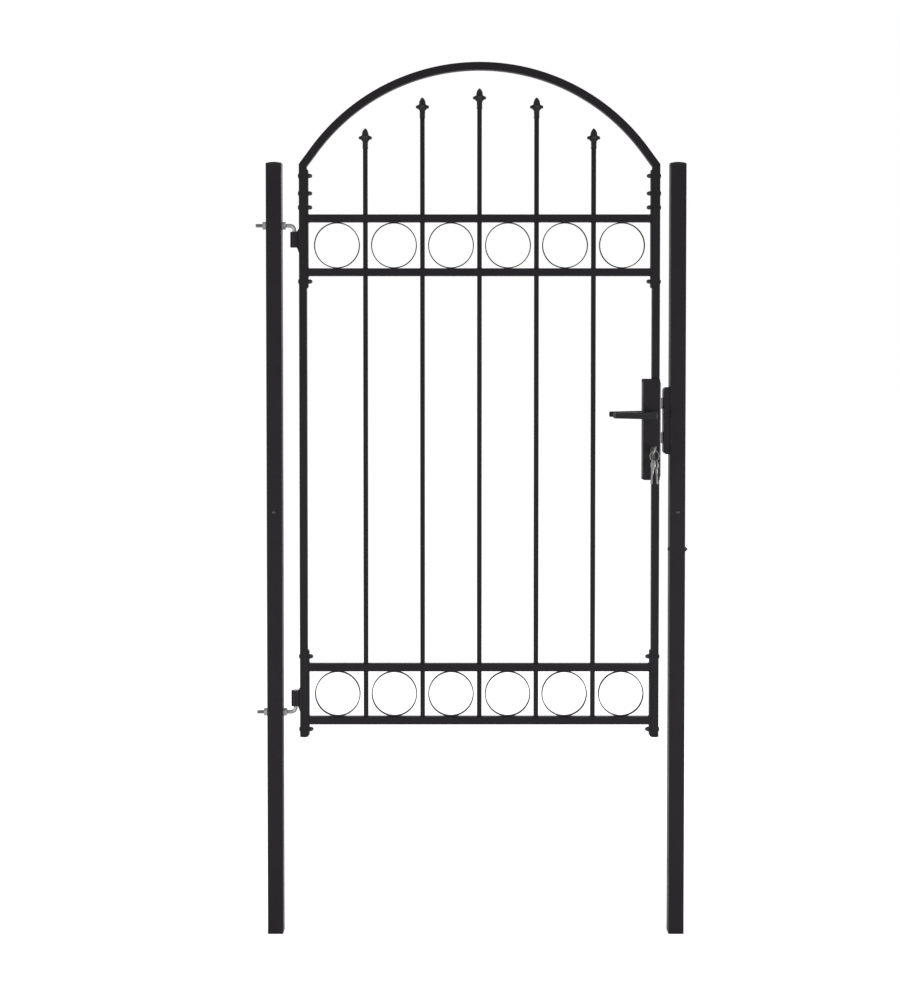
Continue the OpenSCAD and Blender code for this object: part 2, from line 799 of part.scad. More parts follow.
module lock_box() {
    room = lock_w - lock_wall;
    color(coat) difference() {
        translate([box_x0, -lock_depth / 2, lock_z - lock_h / 2])
            cube([lock_w, lock_depth, lock_h]);
        translate([leaf_x1 - room, lock_wall - lock_depth / 2, lock_z - lock_h / 2 + lock_wall])
            cube([room + past, lock_depth - 2 * lock_wall, lock_h - 2 * lock_wall]);
        translate([spindle_x, 0, spindle_z]) along_y(neck_r + past, -lock_depth, lock_depth);
        cylinder_cut(lock_depth, past);
    }
}

module lock_case() {
    case_h = lock_h - 2 * case_gap;
    case_w = lock_w - lock_wall - past;
    color(zinc) difference() {
        translate([leaf_x1 - case_w, -case_depth / 2, lock_z - case_h / 2])
            cube([case_w, case_depth, case_h]);
        translate([spindle_x, 0, spindle_z])
            along_y(spindle_w / sqrt(2) + past, -case_depth, case_depth);
        cylinder_cut(case_depth, fit);
        bolt_passages(leaf_x1 - bolt_tail - latch_travel - past, leaf_x1 + past);
    }
}

// Strip with round ends on the lock's edge
module faceplate() {
    color(zinc) difference() {
        translate([leaf_x1, 0, lock_z]) rotate([90, 0, 90]) linear_extrude(face_t) {
            square([face_w, lock_h - face_w], center = true);
            for (end = [-1, 1]) translate([0, end * (lock_h - face_w) / 2]) circle(face_w / 2);
        }
        bolt_passages(leaf_x1 - past, leaf_x1 + face_t + past);
    }
}

module lock_plates() {
    color(coat) difference() {
        for (y = [-lock_depth / 2, plate_y])
            translate([box_x0 + lock_w / 2, y, lock_z]) rotate([90, 0, 0])
                linear_extrude(plate_t) rounded_oblong(lock_w, plate_h, plate_corner_r);
        translate([spindle_x, 0, spindle_z]) along_y(neck_r + fit, -post_w, post_w);
        cylinder_cut(post_w, fit);
    }
}

module key_cylinder() {
    slot = [key_t + 2 * fit, key_blade_l + past, blade_w + 2 * fit];
    color(zinc) difference() {
        cylinder_cut(cylinder_y, 0);
        translate([spindle_x, slot[1] / 2 - cylinder_y - past, cylinder_z])
            rotate([0, key_turn, 0]) cube(slot, center = true);
    }
}

module dead_bolt() {
    color(zinc) translate([leaf_x1 - bolt_tail, -bolt_t / 2, dead_z - bolt_h / 2])
        cube([bolt_tail + face_t + bolt_out, bolt_t, bolt_h]);
}

// Sliding bolt with a nose bevelled on the back, where it meets the keeper
module latch_bolt() {
    nose = face_t + bolt_out;
    color(zinc) translate([leaf_x1, 0, latch_z - bolt_h / 2]) linear_extrude(bolt_h)
        polygon([[-bolt_tail, -bolt_t / 2], [nose, -bolt_t / 2],
            [nose, latch_nose_t - bolt_t / 2], [face_t + past, bolt_t / 2],
            [-bolt_tail, bolt_t / 2]]);
}

// ---- keys ----

// Flat key in the YZ plane: the blade runs along +Y from the shoulder at the origin
module key() {
    translate([-key_t / 2, 0, 0]) rotate([0, 90, 0]) linear_extrude(key_t) difference() {
        union() {
            translate([-blade_w / 2, 0]) square([blade_w, key_blade_l - blade_w / 2]);
            polygon([[-blade_w / 2, key_blade_l - blade_w / 2], [0, key_blade_l],
                [blade_w / 2, key_blade_l - blade_w / 2]]);
            translate([-shoulder_w / 2, -shoulder_l]) square([shoulder_w, shoulder_l]);
            translate([0, bow_y]) circle(bow_r);
        }
        translate([0, key_hole_y]) circle(key_hole_r);
    }
}

module key_in_lock() {
    color(key_steel) translate([spindle_x, -cylinder_y - fit, cylinder_z])
        rotate([0, key_turn, 0]) key();
}

// Ring through the key in the lock, with two more keys that hang from it
module spare_keys() {
    color(key_steel)
        translate([spindle_x, key_hole_y - cylinder_y - fit,
            cylinder_z - key_ring_r - ring_drop])
            rotate([0, 0, key_ring_turn]) {
                rotate([90, 0, 0]) rotate_extrude() translate([key_ring_r, 0])
                    circle(ring_wire_r);
                for (side = [-1, 1]) rotate([0, side * key_spread, 0])
                    translate([0, 0, -key_ring_r - key_drop])
                        rotate([0, side * (key_splay - key_spread), 0])
                            rotate([-90, 0, 0]) translate([0, -key_hole_y, 0]) key();
            }
}

// ---- levers ----

// Front outline of a lever handle, from its round hub to its tip
module lever_outline() {
    half = lever_tip_h / 2;
    polygon([[0, -lever_hub_h / 2], [0, lever_hub_h / 2],
        [lever_tip_cut - lever_l, half], [-lever_l, half - lever_tip_cut],
        [-lever_l, lever_tip_cut - half], [lever_tip_cut - lever_l, -half]]);
    circle(lever_hub_h / 2);
}

// Plan outline of a lever handle, with its two outer corners rounded
module lever_plan() {
    hub = lever_hub_h / 2;
    far = -lever_y - lever_t;
    difference() {
        translate([-lever_l, far]) square([lever_l + hub, lever_t]);
        for (side = [0, 1]) translate([side * (hub + lever_l) - lever_l, far]) mirror([side, 0])
            difference() {
                translate([-past, -past]) square(lever_bend_r + past);
                translate([lever_bend_r, lever_bend_r]) circle(lever_bend_r);
            }
    }
}

// Lever on the front of the gate, about the spindle's axis
module lever() {
    collar_y = -plate_y - side_play;
    difference() {
        union() {
            intersection() {
                translate([0, -lever_y + eps, 0]) rotate([90, 0, 0])
                    linear_extrude(lever_t + past) lever_outline();
                translate([0, 0, -lever_hub_h]) linear_extrude(2 * lever_hub_h) lever_plan();
            }
            along_y(neck_r, -lever_y - lever_t / 2, -lock_depth / 2 + past);
            along_y(lever_collar_r, collar_y - lever_collar_t, collar_y);
        }
        translate([-spindle_w / 2 - fit, -plate_y - spindle_grip - fit, -spindle_w / 2 - fit])
            cube([spindle_w + 2 * fit, plate_y + spindle_grip, spindle_w + 2 * fit]);
    }
}

module levers() {
    color(coat) translate([spindle_x, 0, spindle_z]) {
        lever();
        mirror([0, 1, 0]) lever();
    }
}

module spindle() {
    color(zinc) translate([spindle_x, 0, spindle_z])
        cube([spindle_w, 2 * (plate_y + spindle_grip), spindle_w], center = true);
}

hinge_post_lower();
hinge_post_upper();
latch_post_lower();
latch_post_upper();
post_sleeves();
post_caps();
post_feet();
post_bolts();
keeper();
upper_hinge_pin();
lower_hinge_pin();
upper_hinge_nuts();
lower_hinge_nuts();
hinge_stile();
lock_stile();
stile_plugs();
arch();
upper_end_bars();
lower_end_bars();
upper_band_top_rail();
upper_band_bottom_rail();
lower_band_top_rail();
lower_band_bottom_rail();
picket_1();
picket_2();
picket_3();
picket_4();
picket_5();
spearheads();
upper_rings();
lower_rings();
upper_hinge_barrel();
lower_hinge_barrel();
hinge_side_bolts();
lock_side_bolts();
lock_box();
lock_case();
faceplate();
lock_plates();
key_cylinder();
dead_bolt();
key_in_lock();
spare_keys();
levers();
spindle();
latch_bolt();
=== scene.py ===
# %% [markdown]
# # An arched garden gate of steel tube
# The gate was packed as a CAD frame: every tube, bar and bolt already has its real size and place.
# These cells dress that frame. They give each piece its edges, welds, threads and finish,
# and they never move or resize what the frame holds.
# Each step says what the piece is, how it could be made, and why one way was chosen.

import json
import math
import random

import bmesh
import bpy
from mathutils import Matrix, Vector


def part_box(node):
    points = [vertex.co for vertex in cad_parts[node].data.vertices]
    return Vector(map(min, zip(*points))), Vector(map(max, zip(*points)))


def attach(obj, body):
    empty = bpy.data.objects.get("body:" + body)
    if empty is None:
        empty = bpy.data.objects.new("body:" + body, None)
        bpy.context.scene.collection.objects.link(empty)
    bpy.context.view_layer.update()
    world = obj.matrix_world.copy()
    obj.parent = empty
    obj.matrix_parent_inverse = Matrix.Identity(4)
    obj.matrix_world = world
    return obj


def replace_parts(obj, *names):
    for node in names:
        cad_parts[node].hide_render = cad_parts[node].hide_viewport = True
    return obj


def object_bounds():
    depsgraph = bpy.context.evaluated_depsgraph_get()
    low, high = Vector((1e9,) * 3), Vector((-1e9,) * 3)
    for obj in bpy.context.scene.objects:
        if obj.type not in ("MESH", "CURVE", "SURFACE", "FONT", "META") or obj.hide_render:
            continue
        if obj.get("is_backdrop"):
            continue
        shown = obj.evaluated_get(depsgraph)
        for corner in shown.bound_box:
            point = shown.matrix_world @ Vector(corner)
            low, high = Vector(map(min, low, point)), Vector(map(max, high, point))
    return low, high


MM = 0.001
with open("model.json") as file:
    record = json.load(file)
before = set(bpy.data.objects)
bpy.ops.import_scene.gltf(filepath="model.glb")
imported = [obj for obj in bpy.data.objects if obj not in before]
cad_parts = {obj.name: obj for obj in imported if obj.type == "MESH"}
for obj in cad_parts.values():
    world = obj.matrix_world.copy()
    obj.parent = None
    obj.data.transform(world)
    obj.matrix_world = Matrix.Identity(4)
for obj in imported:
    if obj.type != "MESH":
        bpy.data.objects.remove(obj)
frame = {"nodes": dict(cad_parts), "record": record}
cad_low, cad_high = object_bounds()
print("box in metres:", [round(v, 4) for v in cad_high - cad_low])

# %% Which body and which finish each node has
body_of = {node: body for body, nodes in frame["record"]["behaviour"]["bodies"].items()
           for node in nodes}
slot_of = {part["node"]: part["material_slot"] for part in frame["record"]["subparts"]}
print("black coat is on", sum(slot == "black_coat" for slot in slot_of.values()), "nodes")

# %% [markdown]
# ## The camera
# A gate is looked at from eye height, a few steps in front of it. A small tilt and a small
# vertical shift of the lens share the work. Tilting alone would make the posts lean together.

# %% Camera
EYE_DISTANCE = 4.0
PICTURE_HEIGHT = 2.585
SENSOR = 36.0
LEFT_OF_MIDDLE = 0.057
LENS_SHIFT = -0.10
TILT_DOWN = math.radians(1.5)

middle = (cad_low + cad_high) / 2
lens = SENSOR * EYE_DISTANCE / PICTURE_HEIGHT
fall = math.tan(TILT_DOWN + math.atan(-LENS_SHIFT * SENSOR / lens))
camera = bpy.data.objects.new("camera", bpy.data.cameras.new("camera"))
camera.data.lens = lens
camera.data.sensor_width = SENSOR
camera.data.shift_y = LENS_SHIFT
camera.location = (middle.x - LEFT_OF_MIDDLE, -EYE_DISTANCE, middle.z + EYE_DISTANCE * fall)
camera.rotation_euler = (math.pi / 2 - TILT_DOWN, 0, 0)
bpy.context.scene.collection.objects.link(camera)
bpy.context.scene.camera = camera
print("eye height:", round(camera.location.z, 3), "m, lens:", round(lens, 1), "mm")

# %% [markdown]
# ## Helpers for nodes and meshes
# Shader trees and Geometry Nodes trees are built the same way: add a node, set its values, link
# its inputs. One short helper does all three, so that a tree reads from top to bottom.
# A node that is given for an input stands for its first output.

# %% A helper that adds nodes
def add(tree, kind, inputs=None, **settings):
    """Adds a node, fills its inputs with values or links, and returns it."""
    node = tree.nodes.new(kind)
    for name, value in settings.items():
        setattr(node, name, value)
    for name, value in (inputs or {}).items():
        if isinstance(value, bpy.types.Node):
            value = value.outputs[0]
        if isinstance(value, bpy.types.NodeSocket):
            tree.links.new(value, node.inputs[name])
        else:
            node.inputs[name].default_value = value
    return node


# %% [markdown]
# A modifier shows its result only on an evaluated copy of the object. Baking takes that copy's
# mesh, puts it on the object and clears the modifiers, so that the object holds plain geometry.

# %% Helpers that make, bake and hand over a piece
def new_piece(name, mesh):
    """An object at the origin that shows a mesh, a curve or a lamp."""
    piece = bpy.data.objects.new(name, mesh)
    bpy.context.scene.collection.objects.link(piece)
    return piece


def evaluated_mesh(piece):
    """The mesh that an object shows, with all that its modifiers or its curve make."""
    graph = bpy.context.evaluated_depsgraph_get()
    return bpy.data.meshes.new_from_object(piece.evaluated_get(graph), depsgraph=graph)


def bake(piece):
    """Replaces a piece's mesh by what its modifiers make of it."""
    mesh = evaluated_mesh(piece)
    piece.modifiers.clear()
    piece.data = mesh
    return piece


def mesh_of(name, form):
    """The mesh of a finished bmesh, which is freed."""
    mesh = bpy.data.meshes.new(name)
    form.to_mesh(mesh)
    form.free()
    return mesh


def even_shading(piece, sharp=40):
    """Smooth shading whose normals follow the large faces, so that flats stay flat."""
    piece.data.shade_smooth()
    piece.data.set_sharp_from_angle(angle=math.radians(sharp))
    weighted = piece.modifiers.new("even", "WEIGHTED_NORMAL")
    weighted.keep_sharp = True
    return bake(piece)


def trim(piece, finish, like):
    """Gives a piece its finish and the body of the node that it belongs to."""
    piece.data.materials.clear()
    piece.data.materials.append(finish)
    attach(piece, body_of[like])
    triangles = sum(len(face.vertices) - 2 for face in piece.data.polygons)
    print(f"{piece.name}: {triangles} triangles with {like}")
    return piece


def dress(piece, finish, node):
    """Trims a piece and lets it stand for its CAD node."""
    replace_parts(trim(piece, finish, node), node)
    return piece


# %% [markdown]
# ## Finishes
# Powder coat is melted plastic: it is even in colour, but it has an "orange peel" of shallow
# waves a millimetre or two across, which breaks up the reflections. Three noises make it: two
# fine ones for the peel and its grit, and a broad one for slow changes of gloss and dust.
# All of them read Object coordinates. Every piece sits at the origin, so the pattern runs on
# from one tube to the next at true scale.

# %% Coated steel
def blank_material(name):
    """A material with an empty tree, and that tree."""
    material = bpy.data.materials.new(name)
    material.use_nodes = True
    material.node_tree.nodes.clear()
    return material, material.node_tree


def coated(name, colour, dusty, rough, shine, grain, relief):
    """Satin coat with orange peel, slow changes of gloss and a trace of dust."""
    material, tree = blank_material(name)
    place = add(tree, "ShaderNodeTexCoord").outputs["Object"]
    broad = add(tree, "ShaderNodeTexNoise", {
        "Vector": place, "Scale": 9.0, "Detail": 5.0, "Roughness": 0.6})
    peel = add(tree, "ShaderNodeTexNoise", {"Vector": place, "Scale": 1 / grain, "Detail": 2.0})
    grit = add(tree, "ShaderNodeTexNoise", {"Vector": place, "Scale": 4 / grain, "Detail": 1.0})
    tint = add(tree, "ShaderNodeMix", {
        "Factor": broad, "A": (*colour, 1), "B": (*dusty, 1)}, data_type="RGBA")
    gloss = add(tree, "ShaderNodeMapRange", {
        "Value": broad, "From Min": 0.3, "From Max": 0.7,
        "To Min": rough - 0.05, "To Max": rough + 0.07})
    waves = add(tree, "ShaderNodeMath", {0: grit, 1: 0.25, 2: peel}, operation="MULTIPLY_ADD")
    bump = add(tree, "ShaderNodeBump", {"Height": waves, "Strength": 1.0, "Distance": relief})
    coat = add(tree, "ShaderNodeBsdfPrincipled", {
        "Base Color": tint.outputs["Result"], "Roughness": gloss, "Normal": bump,
        "Specular IOR Level": shine})
    add(tree, "ShaderNodeOutputMaterial", {"Surface": coat})
    return material


black_coat = coated("black_coat", (0.0065, 0.0053, 0.0072), (0.0115, 0.0098, 0.0122),
                    rough=0.46, shine=0.12, grain=2.2 * MM, relief=0.05 * MM)
cast_coat = coated("cast_coat", (0.004, 0.004, 0.0045), (0.008, 0.008, 0.0085),
                   rough=0.26, shine=0.25, grain=0.9 * MM, relief=0.09 * MM)
handle_coat = coated("handle_coat", (0.006, 0.006, 0.007), (0.011, 0.011, 0.012),
                     rough=0.28, shine=0.2, grain=1.2 * MM, relief=0.02 * MM)
bolt_black = coated("bolt_black", (0.008, 0.008, 0.009), (0.02, 0.02, 0.021),
                    rough=0.24, shine=0.35, grain=1.5 * MM, relief=0.02 * MM)
black_plastic = coated("black_plastic", (0.006, 0.006, 0.0065), (0.011, 0.011, 0.0115),
                       rough=0.55, shine=0.16, grain=0.7 * MM, relief=0.05 * MM)

# %% [markdown]
# Zinc plate and nickel plate are bare metal, so their colour is the colour of their reflection.
# Zinc has a cloudy, slightly patchy grey, and both carry fine scratches. A noise that is
# stretched along one axis draws scratches. It is cheaper than real grooves and scales truly.
# The keys are bright from use, while the face of their cylinder is given a much darker nickel.

# %% Plated metal
ACROSS_SCRATCHES = 2600.0
ALONG_SCRATCHES = 130.0
SCRATCH_DEPTH = 0.01 * MM


def plated(name, colour, cloudy, rough, scratch_axis):
    """Bare plated metal with soft clouds and fine scratches along one axis."""
    material, tree = blank_material(name)
    place = add(tree, "ShaderNodeTexCoord").outputs["Object"]
    clouds = add(tree, "ShaderNodeTexNoise", {"Vector": place, "Scale": 160.0, "Detail": 3.0})
    stretch = [ACROSS_SCRATCHES] * 3
    stretch[scratch_axis] = ALONG_SCRATCHES
    long_way = add(tree, "ShaderNodeMapping", {"Vector": place, "Scale": stretch})
    scratches = add(tree, "ShaderNodeTexNoise", {"Vector": long_way, "Scale": 1.0, "Detail": 2.0})
    tint = add(tree, "ShaderNodeMix", {
        "Factor": clouds, "A": (*colour, 1), "B": (*cloudy, 1)}, data_type="RGBA")
    gloss = add(tree, "ShaderNodeMapRange", {
        "Value": scratches, "From Min": 0.3, "From Max": 0.7,
        "To Min": rough - 0.06, "To Max": rough + 0.12})
    bump = add(tree, "ShaderNodeBump", {
        "Height": scratches, "Strength": 0.6, "Distance": SCRATCH_DEPTH})
    plate = add(tree, "ShaderNodeBsdfPrincipled", {
        "Base Color": tint.outputs["Result"], "Roughness": gloss, "Normal": bump,
        "Metallic": 1.0})
    add(tree, "ShaderNodeOutputMaterial", {"Surface": plate})
    return material


zinc_plate = plated("zinc_plate", (0.19, 0.195, 0.195), (0.28, 0.28, 0.275), rough=0.40,
                    scratch_axis=0)
key_nickel = plated("key_nickel", (0.25, 0.25, 0.245), (0.34, 0.34, 0.33), rough=0.56,
                    scratch_axis=2)
# The cylinder face is coloured a much darker nickel than the keys.
dull_nickel = plated("dull_nickel", (0.055, 0.055, 0.055), (0.09, 0.09, 0.088), rough=0.42,
                     scratch_axis=2)
finishes = {"black_coat": black_coat, "zinc_plate": zinc_plate,
            "black_plastic": black_plastic, "key_nickel": key_nickel}
for node, part in frame["nodes"].items():
    part.data.materials.clear()
    part.data.materials.append(finishes[slot_of[node]])
print("slots with a finish:", ", ".join(finishes))

# %% [markdown]
# ## Tubes, bars, plates and boxes
# Drawn and folded steel has no knife edge: the coat rounds even a sawn end by some tenths of a
# millimetre, and that thin round is what catches the light. The CAD solids have sharp ends, so
# each gets a copy with bevelled edges.
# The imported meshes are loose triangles. Merging their doubles and dissolving flat neighbours
# first gives the Bevel modifier clean edges to work on.

# %% Helpers that copy a node and round its sharp edges
SAME_POINT = 0.001 * MM


def closed_form(node):
    """A CAD node's mesh as a bmesh whose triangles share their corners."""
    solid = bmesh.new()
    solid.from_mesh(frame["nodes"][node].data)
    bmesh.ops.remove_doubles(solid, verts=solid.verts, dist=SAME_POINT)
    return solid


def clean_copy(node):
    """A CAD node's mesh as a closed one, with its flat faces whole again."""
    solid = closed_form(node)
    bmesh.ops.dissolve_limit(solid, angle_limit=math.radians(0.5), verts=solid.verts,
                             edges=solid.edges)
    return mesh_of(node + "_copy", solid)


def round_edges(node, width, finish=None, segments=2):
    """Stands for a node with the same shape, its sharp edges rounded to a width."""
    piece = new_piece(node + "_rounded", clean_copy(node))
    bevel = piece.modifiers.new("round", "BEVEL")
    bevel.width = width
    bevel.segments = segments
    bevel.limit_method = "ANGLE"
    bevel.angle_limit = math.radians(35)
    even_shading(bake(piece))
    return dress(piece, finish or finishes[slot_of[node]], node)


# %% Posts, stiles, rails and pickets
EDGE = {"tube": 0.35 * MM, "thin": 0.2 * MM, "bar": 0.5 * MM, "box": 0.8 * MM,
        "plate": 1.2 * MM, "moulded": 0.7 * MM, "bolt": 0.5 * MM, "lever": 1.4 * MM}
for node in ("hinge_post_lower", "hinge_post_upper", "latch_post_lower", "latch_post_upper",
             "hinge_stile", "lock_stile"):
    round_edges(node, EDGE["tube"])
for band in ("upper", "lower"):
    round_edges(f"{band}_band_top_rail", EDGE["tube"])
    round_edges(f"{band}_band_bottom_rail", EDGE["tube"])
    round_edges(f"{band}_end_bars", EDGE["bar"])
    round_edges(f"{band}_hinge_barrel", EDGE["bar"])
    round_edges(f"{band}_hinge_nuts", EDGE["thin"])
for number in range(1, 6):
    round_edges(f"picket_{number}", EDGE["thin"])

# %% Caps, plugs, lock box, plates and keeper
for node in ("post_caps", "post_feet", "stile_plugs"):
    round_edges(node, EDGE["moulded"])
for node in ("keeper", "lock_box"):
    round_edges(node, EDGE["box"])
round_edges("lock_plates", EDGE["plate"], segments=3)
for node in ("faceplate", "lock_case", "dead_bolt", "latch_bolt"):
    round_edges(node, EDGE["bolt"])
round_edges("key_cylinder", EDGE["thin"], dull_nickel)

# %% [markdown]
# ## Geometry Nodes helpers
# A tree gets named inputs for its sizes. A modifier stores them by the socket's identifier, and
# they have to be set before the object is first evaluated, or it is built with the defaults.

# %% Helpers for Geometry Nodes trees
SOCKETS = {float: "NodeSocketFloat", int: "NodeSocketInt", "part": "NodeSocketObject",
           "finish": "NodeSocketMaterial"}


def new_tree(name, inputs):
    """A tree with a geometry input and output, named inputs, and its two end nodes."""
    tree = bpy.data.node_groups.new(name, "GeometryNodeTree")
    for way in ("INPUT", "OUTPUT"):
        tree.interface.new_socket("Geometry", in_out=way, socket_type="NodeSocketGeometry")
    for label, kind in {**inputs, "Finish": "finish"}.items():
        tree.interface.new_socket(label, in_out="INPUT", socket_type=SOCKETS[kind])
    return tree, add(tree, "NodeGroupInput").outputs


def end_tree(tree, shape, sizes):
    """Realizes what the tree made, sets its finish and ends the tree."""
    real = add(tree, "GeometryNodeRealizeInstances", {"Geometry": shape})
    done = add(tree, "GeometryNodeSetMaterial", {"Geometry": real, "Material": sizes["Finish"]})
    add(tree, "NodeGroupOutput", {"Geometry": done})
    print("tree", tree.name, "has", len(tree.nodes), "nodes")
    return tree


def grow(name, tree, mesh, finish, **values):
    """Runs a tree on a mesh and returns a plain piece. An input's spaces are underscores."""
    piece = new_piece(name, mesh)
    modifier = piece.modifiers.new("grow", "NODES")
    modifier.node_group = tree
    values["Finish"] = finish
    for socket in tree.interface.items_tree:
        if socket.in_out == "INPUT" and socket.name.replace(" ", "_") in values:
            modifier[socket.identifier] = values[socket.name.replace(" ", "_")]
    return bake(piece)


def math_node(tree, operation, *values):
    """The result of one math node."""
    return add(tree, "ShaderNodeMath", dict(enumerate(values)), operation=operation)


def vector_node(tree, operation, *values):
    """The result of one vector math node."""
    return add(tree, "ShaderNodeVectorMath", dict(enumerate(values)), operation=operation)


def keep(tree, shape, name, value, kind="FLOAT"):
    """The shape with a value kept on each of its points under a name."""
    return add(tree, "GeometryNodeStoreNamedAttribute", {
        "Geometry": shape, "Name": name, "Value": value}, data_type=kind)


def reading(tree, name, kind="FLOAT"):
    """The values that were kept under a name."""
    return add(tree, "GeometryNodeInputNamedAttribute", {"Name": name},
               data_type=kind).outputs["Attribute"]


def bar_section(tree, width, height, corner, steps):
    """The outline of a bar, its corners rounded in some steps."""
    section = add(tree, "GeometryNodeCurvePrimitiveQuadrilateral", {
        "Width": width, "Height": height})
    return add(tree, "GeometryNodeFilletCurve", {
        "Curve": section, "Radius": corner, "Count": steps}, mode="POLY")


def evenly_spaced(tree, line, pitch):
    """A mesh of edges as curves, with four points to each pitch along them."""
    curve = add(tree, "GeometryNodeMeshToCurve", {"Mesh": line})
    return add(tree, "GeometryNodeResampleCurve", {
        "Curve": curve, "Length": math_node(tree, "DIVIDE", pitch, 4.0)}, mode="LENGTH")


# %% [markdown]
# ## The arch
# The arch is one square tube: a short leg, a kink, a straight, and then a curve over the middle.
# It could be extruded face by face, but its shape follows a rule, so a tree sweeps a
# rounded square along a path.
# A sweep keeps the profile's size at a kink, and the tube would come out thin there. Each path
# point carries a "mitre" number, and the tree stretches the section by it within the arch's plane.

# %% The path of the arch
ARCH_SLOPE = math.radians(53.5)
ARCH_STRAIGHT = 53 * MM
TUBE = 20 * MM
TUBE_ROUND = 2 * MM
CURVE_STEPS = 96

arch_low, arch_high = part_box("arch")
half_leaf = (arch_high.x - arch_low.x) / 2
arch_radius = (half_leaf - ARCH_STRAIGHT * math.cos(ARCH_SLOPE)) / math.sin(ARCH_SLOPE)
arch_centre = Vector(((arch_low.x + arch_high.x) / 2, 0, arch_high.z - arch_radius))
print("arch radius:", round(arch_radius / MM, 1), "mm")


def arch_path(inset):
    """Half of the arch's line at a depth inside the outline, from the foot to the top."""
    radius = arch_radius - inset
    bend = Vector((radius * math.sin(ARCH_SLOPE), 0, radius * math.cos(ARCH_SLOPE)))
    along = (half_leaf - inset - bend.x) / math.cos(ARCH_SLOPE)
    kink = bend + Vector((along * math.cos(ARCH_SLOPE), 0, -along * math.sin(ARCH_SLOPE)))
    foot = Vector((kink.x, 0, arch_low.z - arch_centre.z))
    angles = [ARCH_SLOPE * (1 - step / CURVE_STEPS) for step in range(CURVE_STEPS + 1)]
    curve = [Vector((radius * math.sin(a), 0, radius * math.cos(a))) for a in angles]
    return [foot, kink] + curve


# %% A mesh of lines, with a number on each point
def line_mesh(name, lines, **numbers):
    """A mesh of open lines of points. Each keyword gives the points a named number."""
    points, edges = [], []
    for line in lines:
        edges += [(len(points) + i, len(points) + i + 1) for i in range(len(line) - 1)]
        points += [tuple(point) for point in line]
    mesh = bpy.data.meshes.new(name)
    mesh.from_pydata(points, edges, [])
    for label, values in numbers.items():
        mesh.attributes.new(label, "FLOAT", "POINT").data.foreach_set("value", values)
    return mesh


right_side = arch_path(TUBE / 2)
left_side = [Vector((-p.x, 0, p.z)) for p in right_side[:-1]]
arch_points = [arch_centre + p for p in right_side + left_side[::-1]]
kink_turn = math.pi / 2 - ARCH_SLOPE
mitres = [1.0] * len(arch_points)
mitres[1] = mitres[-2] = 1 / math.cos(kink_turn / 2)

# %% The tree that sweeps a square tube
tree, sizes = new_tree("square_tube", {"Width": float, "Corner Radius": float})
curve = add(tree, "GeometryNodeMeshToCurve", {"Mesh": sizes["Geometry"]})
here = add(tree, "GeometryNodeInputPosition")
curve = keep(tree, curve, "heart", here, "FLOAT_VECTOR")
section = bar_section(tree, sizes["Width"], sizes["Width"], sizes["Corner Radius"], 5)
tube = add(tree, "GeometryNodeCurveToMesh", {
    "Curve": curve, "Profile Curve": section, "Fill Caps": True})
heart = reading(tree, "heart", "FLOAT_VECTOR")
out_of = vector_node(tree, "SUBTRACT", here, heart)
mitre = reading(tree, "mitre")
stretch = add(tree, "ShaderNodeCombineXYZ", {"X": mitre, "Y": 1.0, "Z": mitre})
wide = vector_node(tree, "MULTIPLY", out_of, stretch)
place = vector_node(tree, "ADD", heart, wide)
tube = add(tree, "GeometryNodeSetPosition", {"Geometry": tube, "Position": place})
square_tube = end_tree(tree, tube, sizes)

# %% The arch
arch = grow("arch_tube", square_tube, line_mesh("arch_line", [arch_points], mitre=mitres),
            black_coat, Width=TUBE, Corner_Radius=TUBE_ROUND)
dress(even_shading(arch), black_coat, "arch")

# %% [markdown]
# ## The rings
# Each band holds six rings of flat bar, rolled round and tacked to the rails. One ring is a
# rounded bar section swept round a circle. A row of points then carries copies of it, which is
# what instancing is for: change the count or the pitch, and the whole row follows.

# %% The tree for a row of rings
tree, sizes = new_tree("ring_row", {
    "Count": int, "Pitch": float, "Radius": float, "Wall": float, "Depth": float,
    "Corner Radius": float})
hoop = add(tree, "GeometryNodeCurvePrimitiveCircle", {"Resolution": 96, "Radius": sizes["Radius"]})
section = bar_section(tree, sizes["Wall"], sizes["Depth"], sizes["Corner Radius"], 3)
ring = add(tree, "GeometryNodeCurveToMesh", {"Curve": hoop, "Profile Curve": section})
ring = add(tree, "GeometryNodeTransform", {"Geometry": ring, "Rotation": (math.pi / 2, 0, 0)})
step = add(tree, "ShaderNodeCombineXYZ", {"X": sizes["Pitch"]})
row = add(tree, "GeometryNodeMeshLine", {"Count": sizes["Count"], "Offset": step})
rings = add(tree, "GeometryNodeInstanceOnPoints", {"Points": row, "Instance": ring})
ring_row = end_tree(tree, rings, sizes)

# %% A helper that finds the separate solids of a node
def solids_of(node):
    """The lowest and highest corner of each separate solid of a CAD node."""
    solid = closed_form(node)
    left, boxes = set(solid.verts), []
    while left:
        group, reach = set(), [left.pop()]
        while reach:
            vert = reach.pop()
            group.add(vert)
            near = {edge.other_vert(vert) for edge in vert.link_edges} & left
            left -= near
            reach.extend(near)
        boxes.append((Vector([min(v.co[i] for v in group) for i in range(3)]),
                      Vector([max(v.co[i] for v in group) for i in range(3)])))
    solid.free()
    return sorted(boxes, key=lambda box: (round(box[0].x, 4), box[0].z))


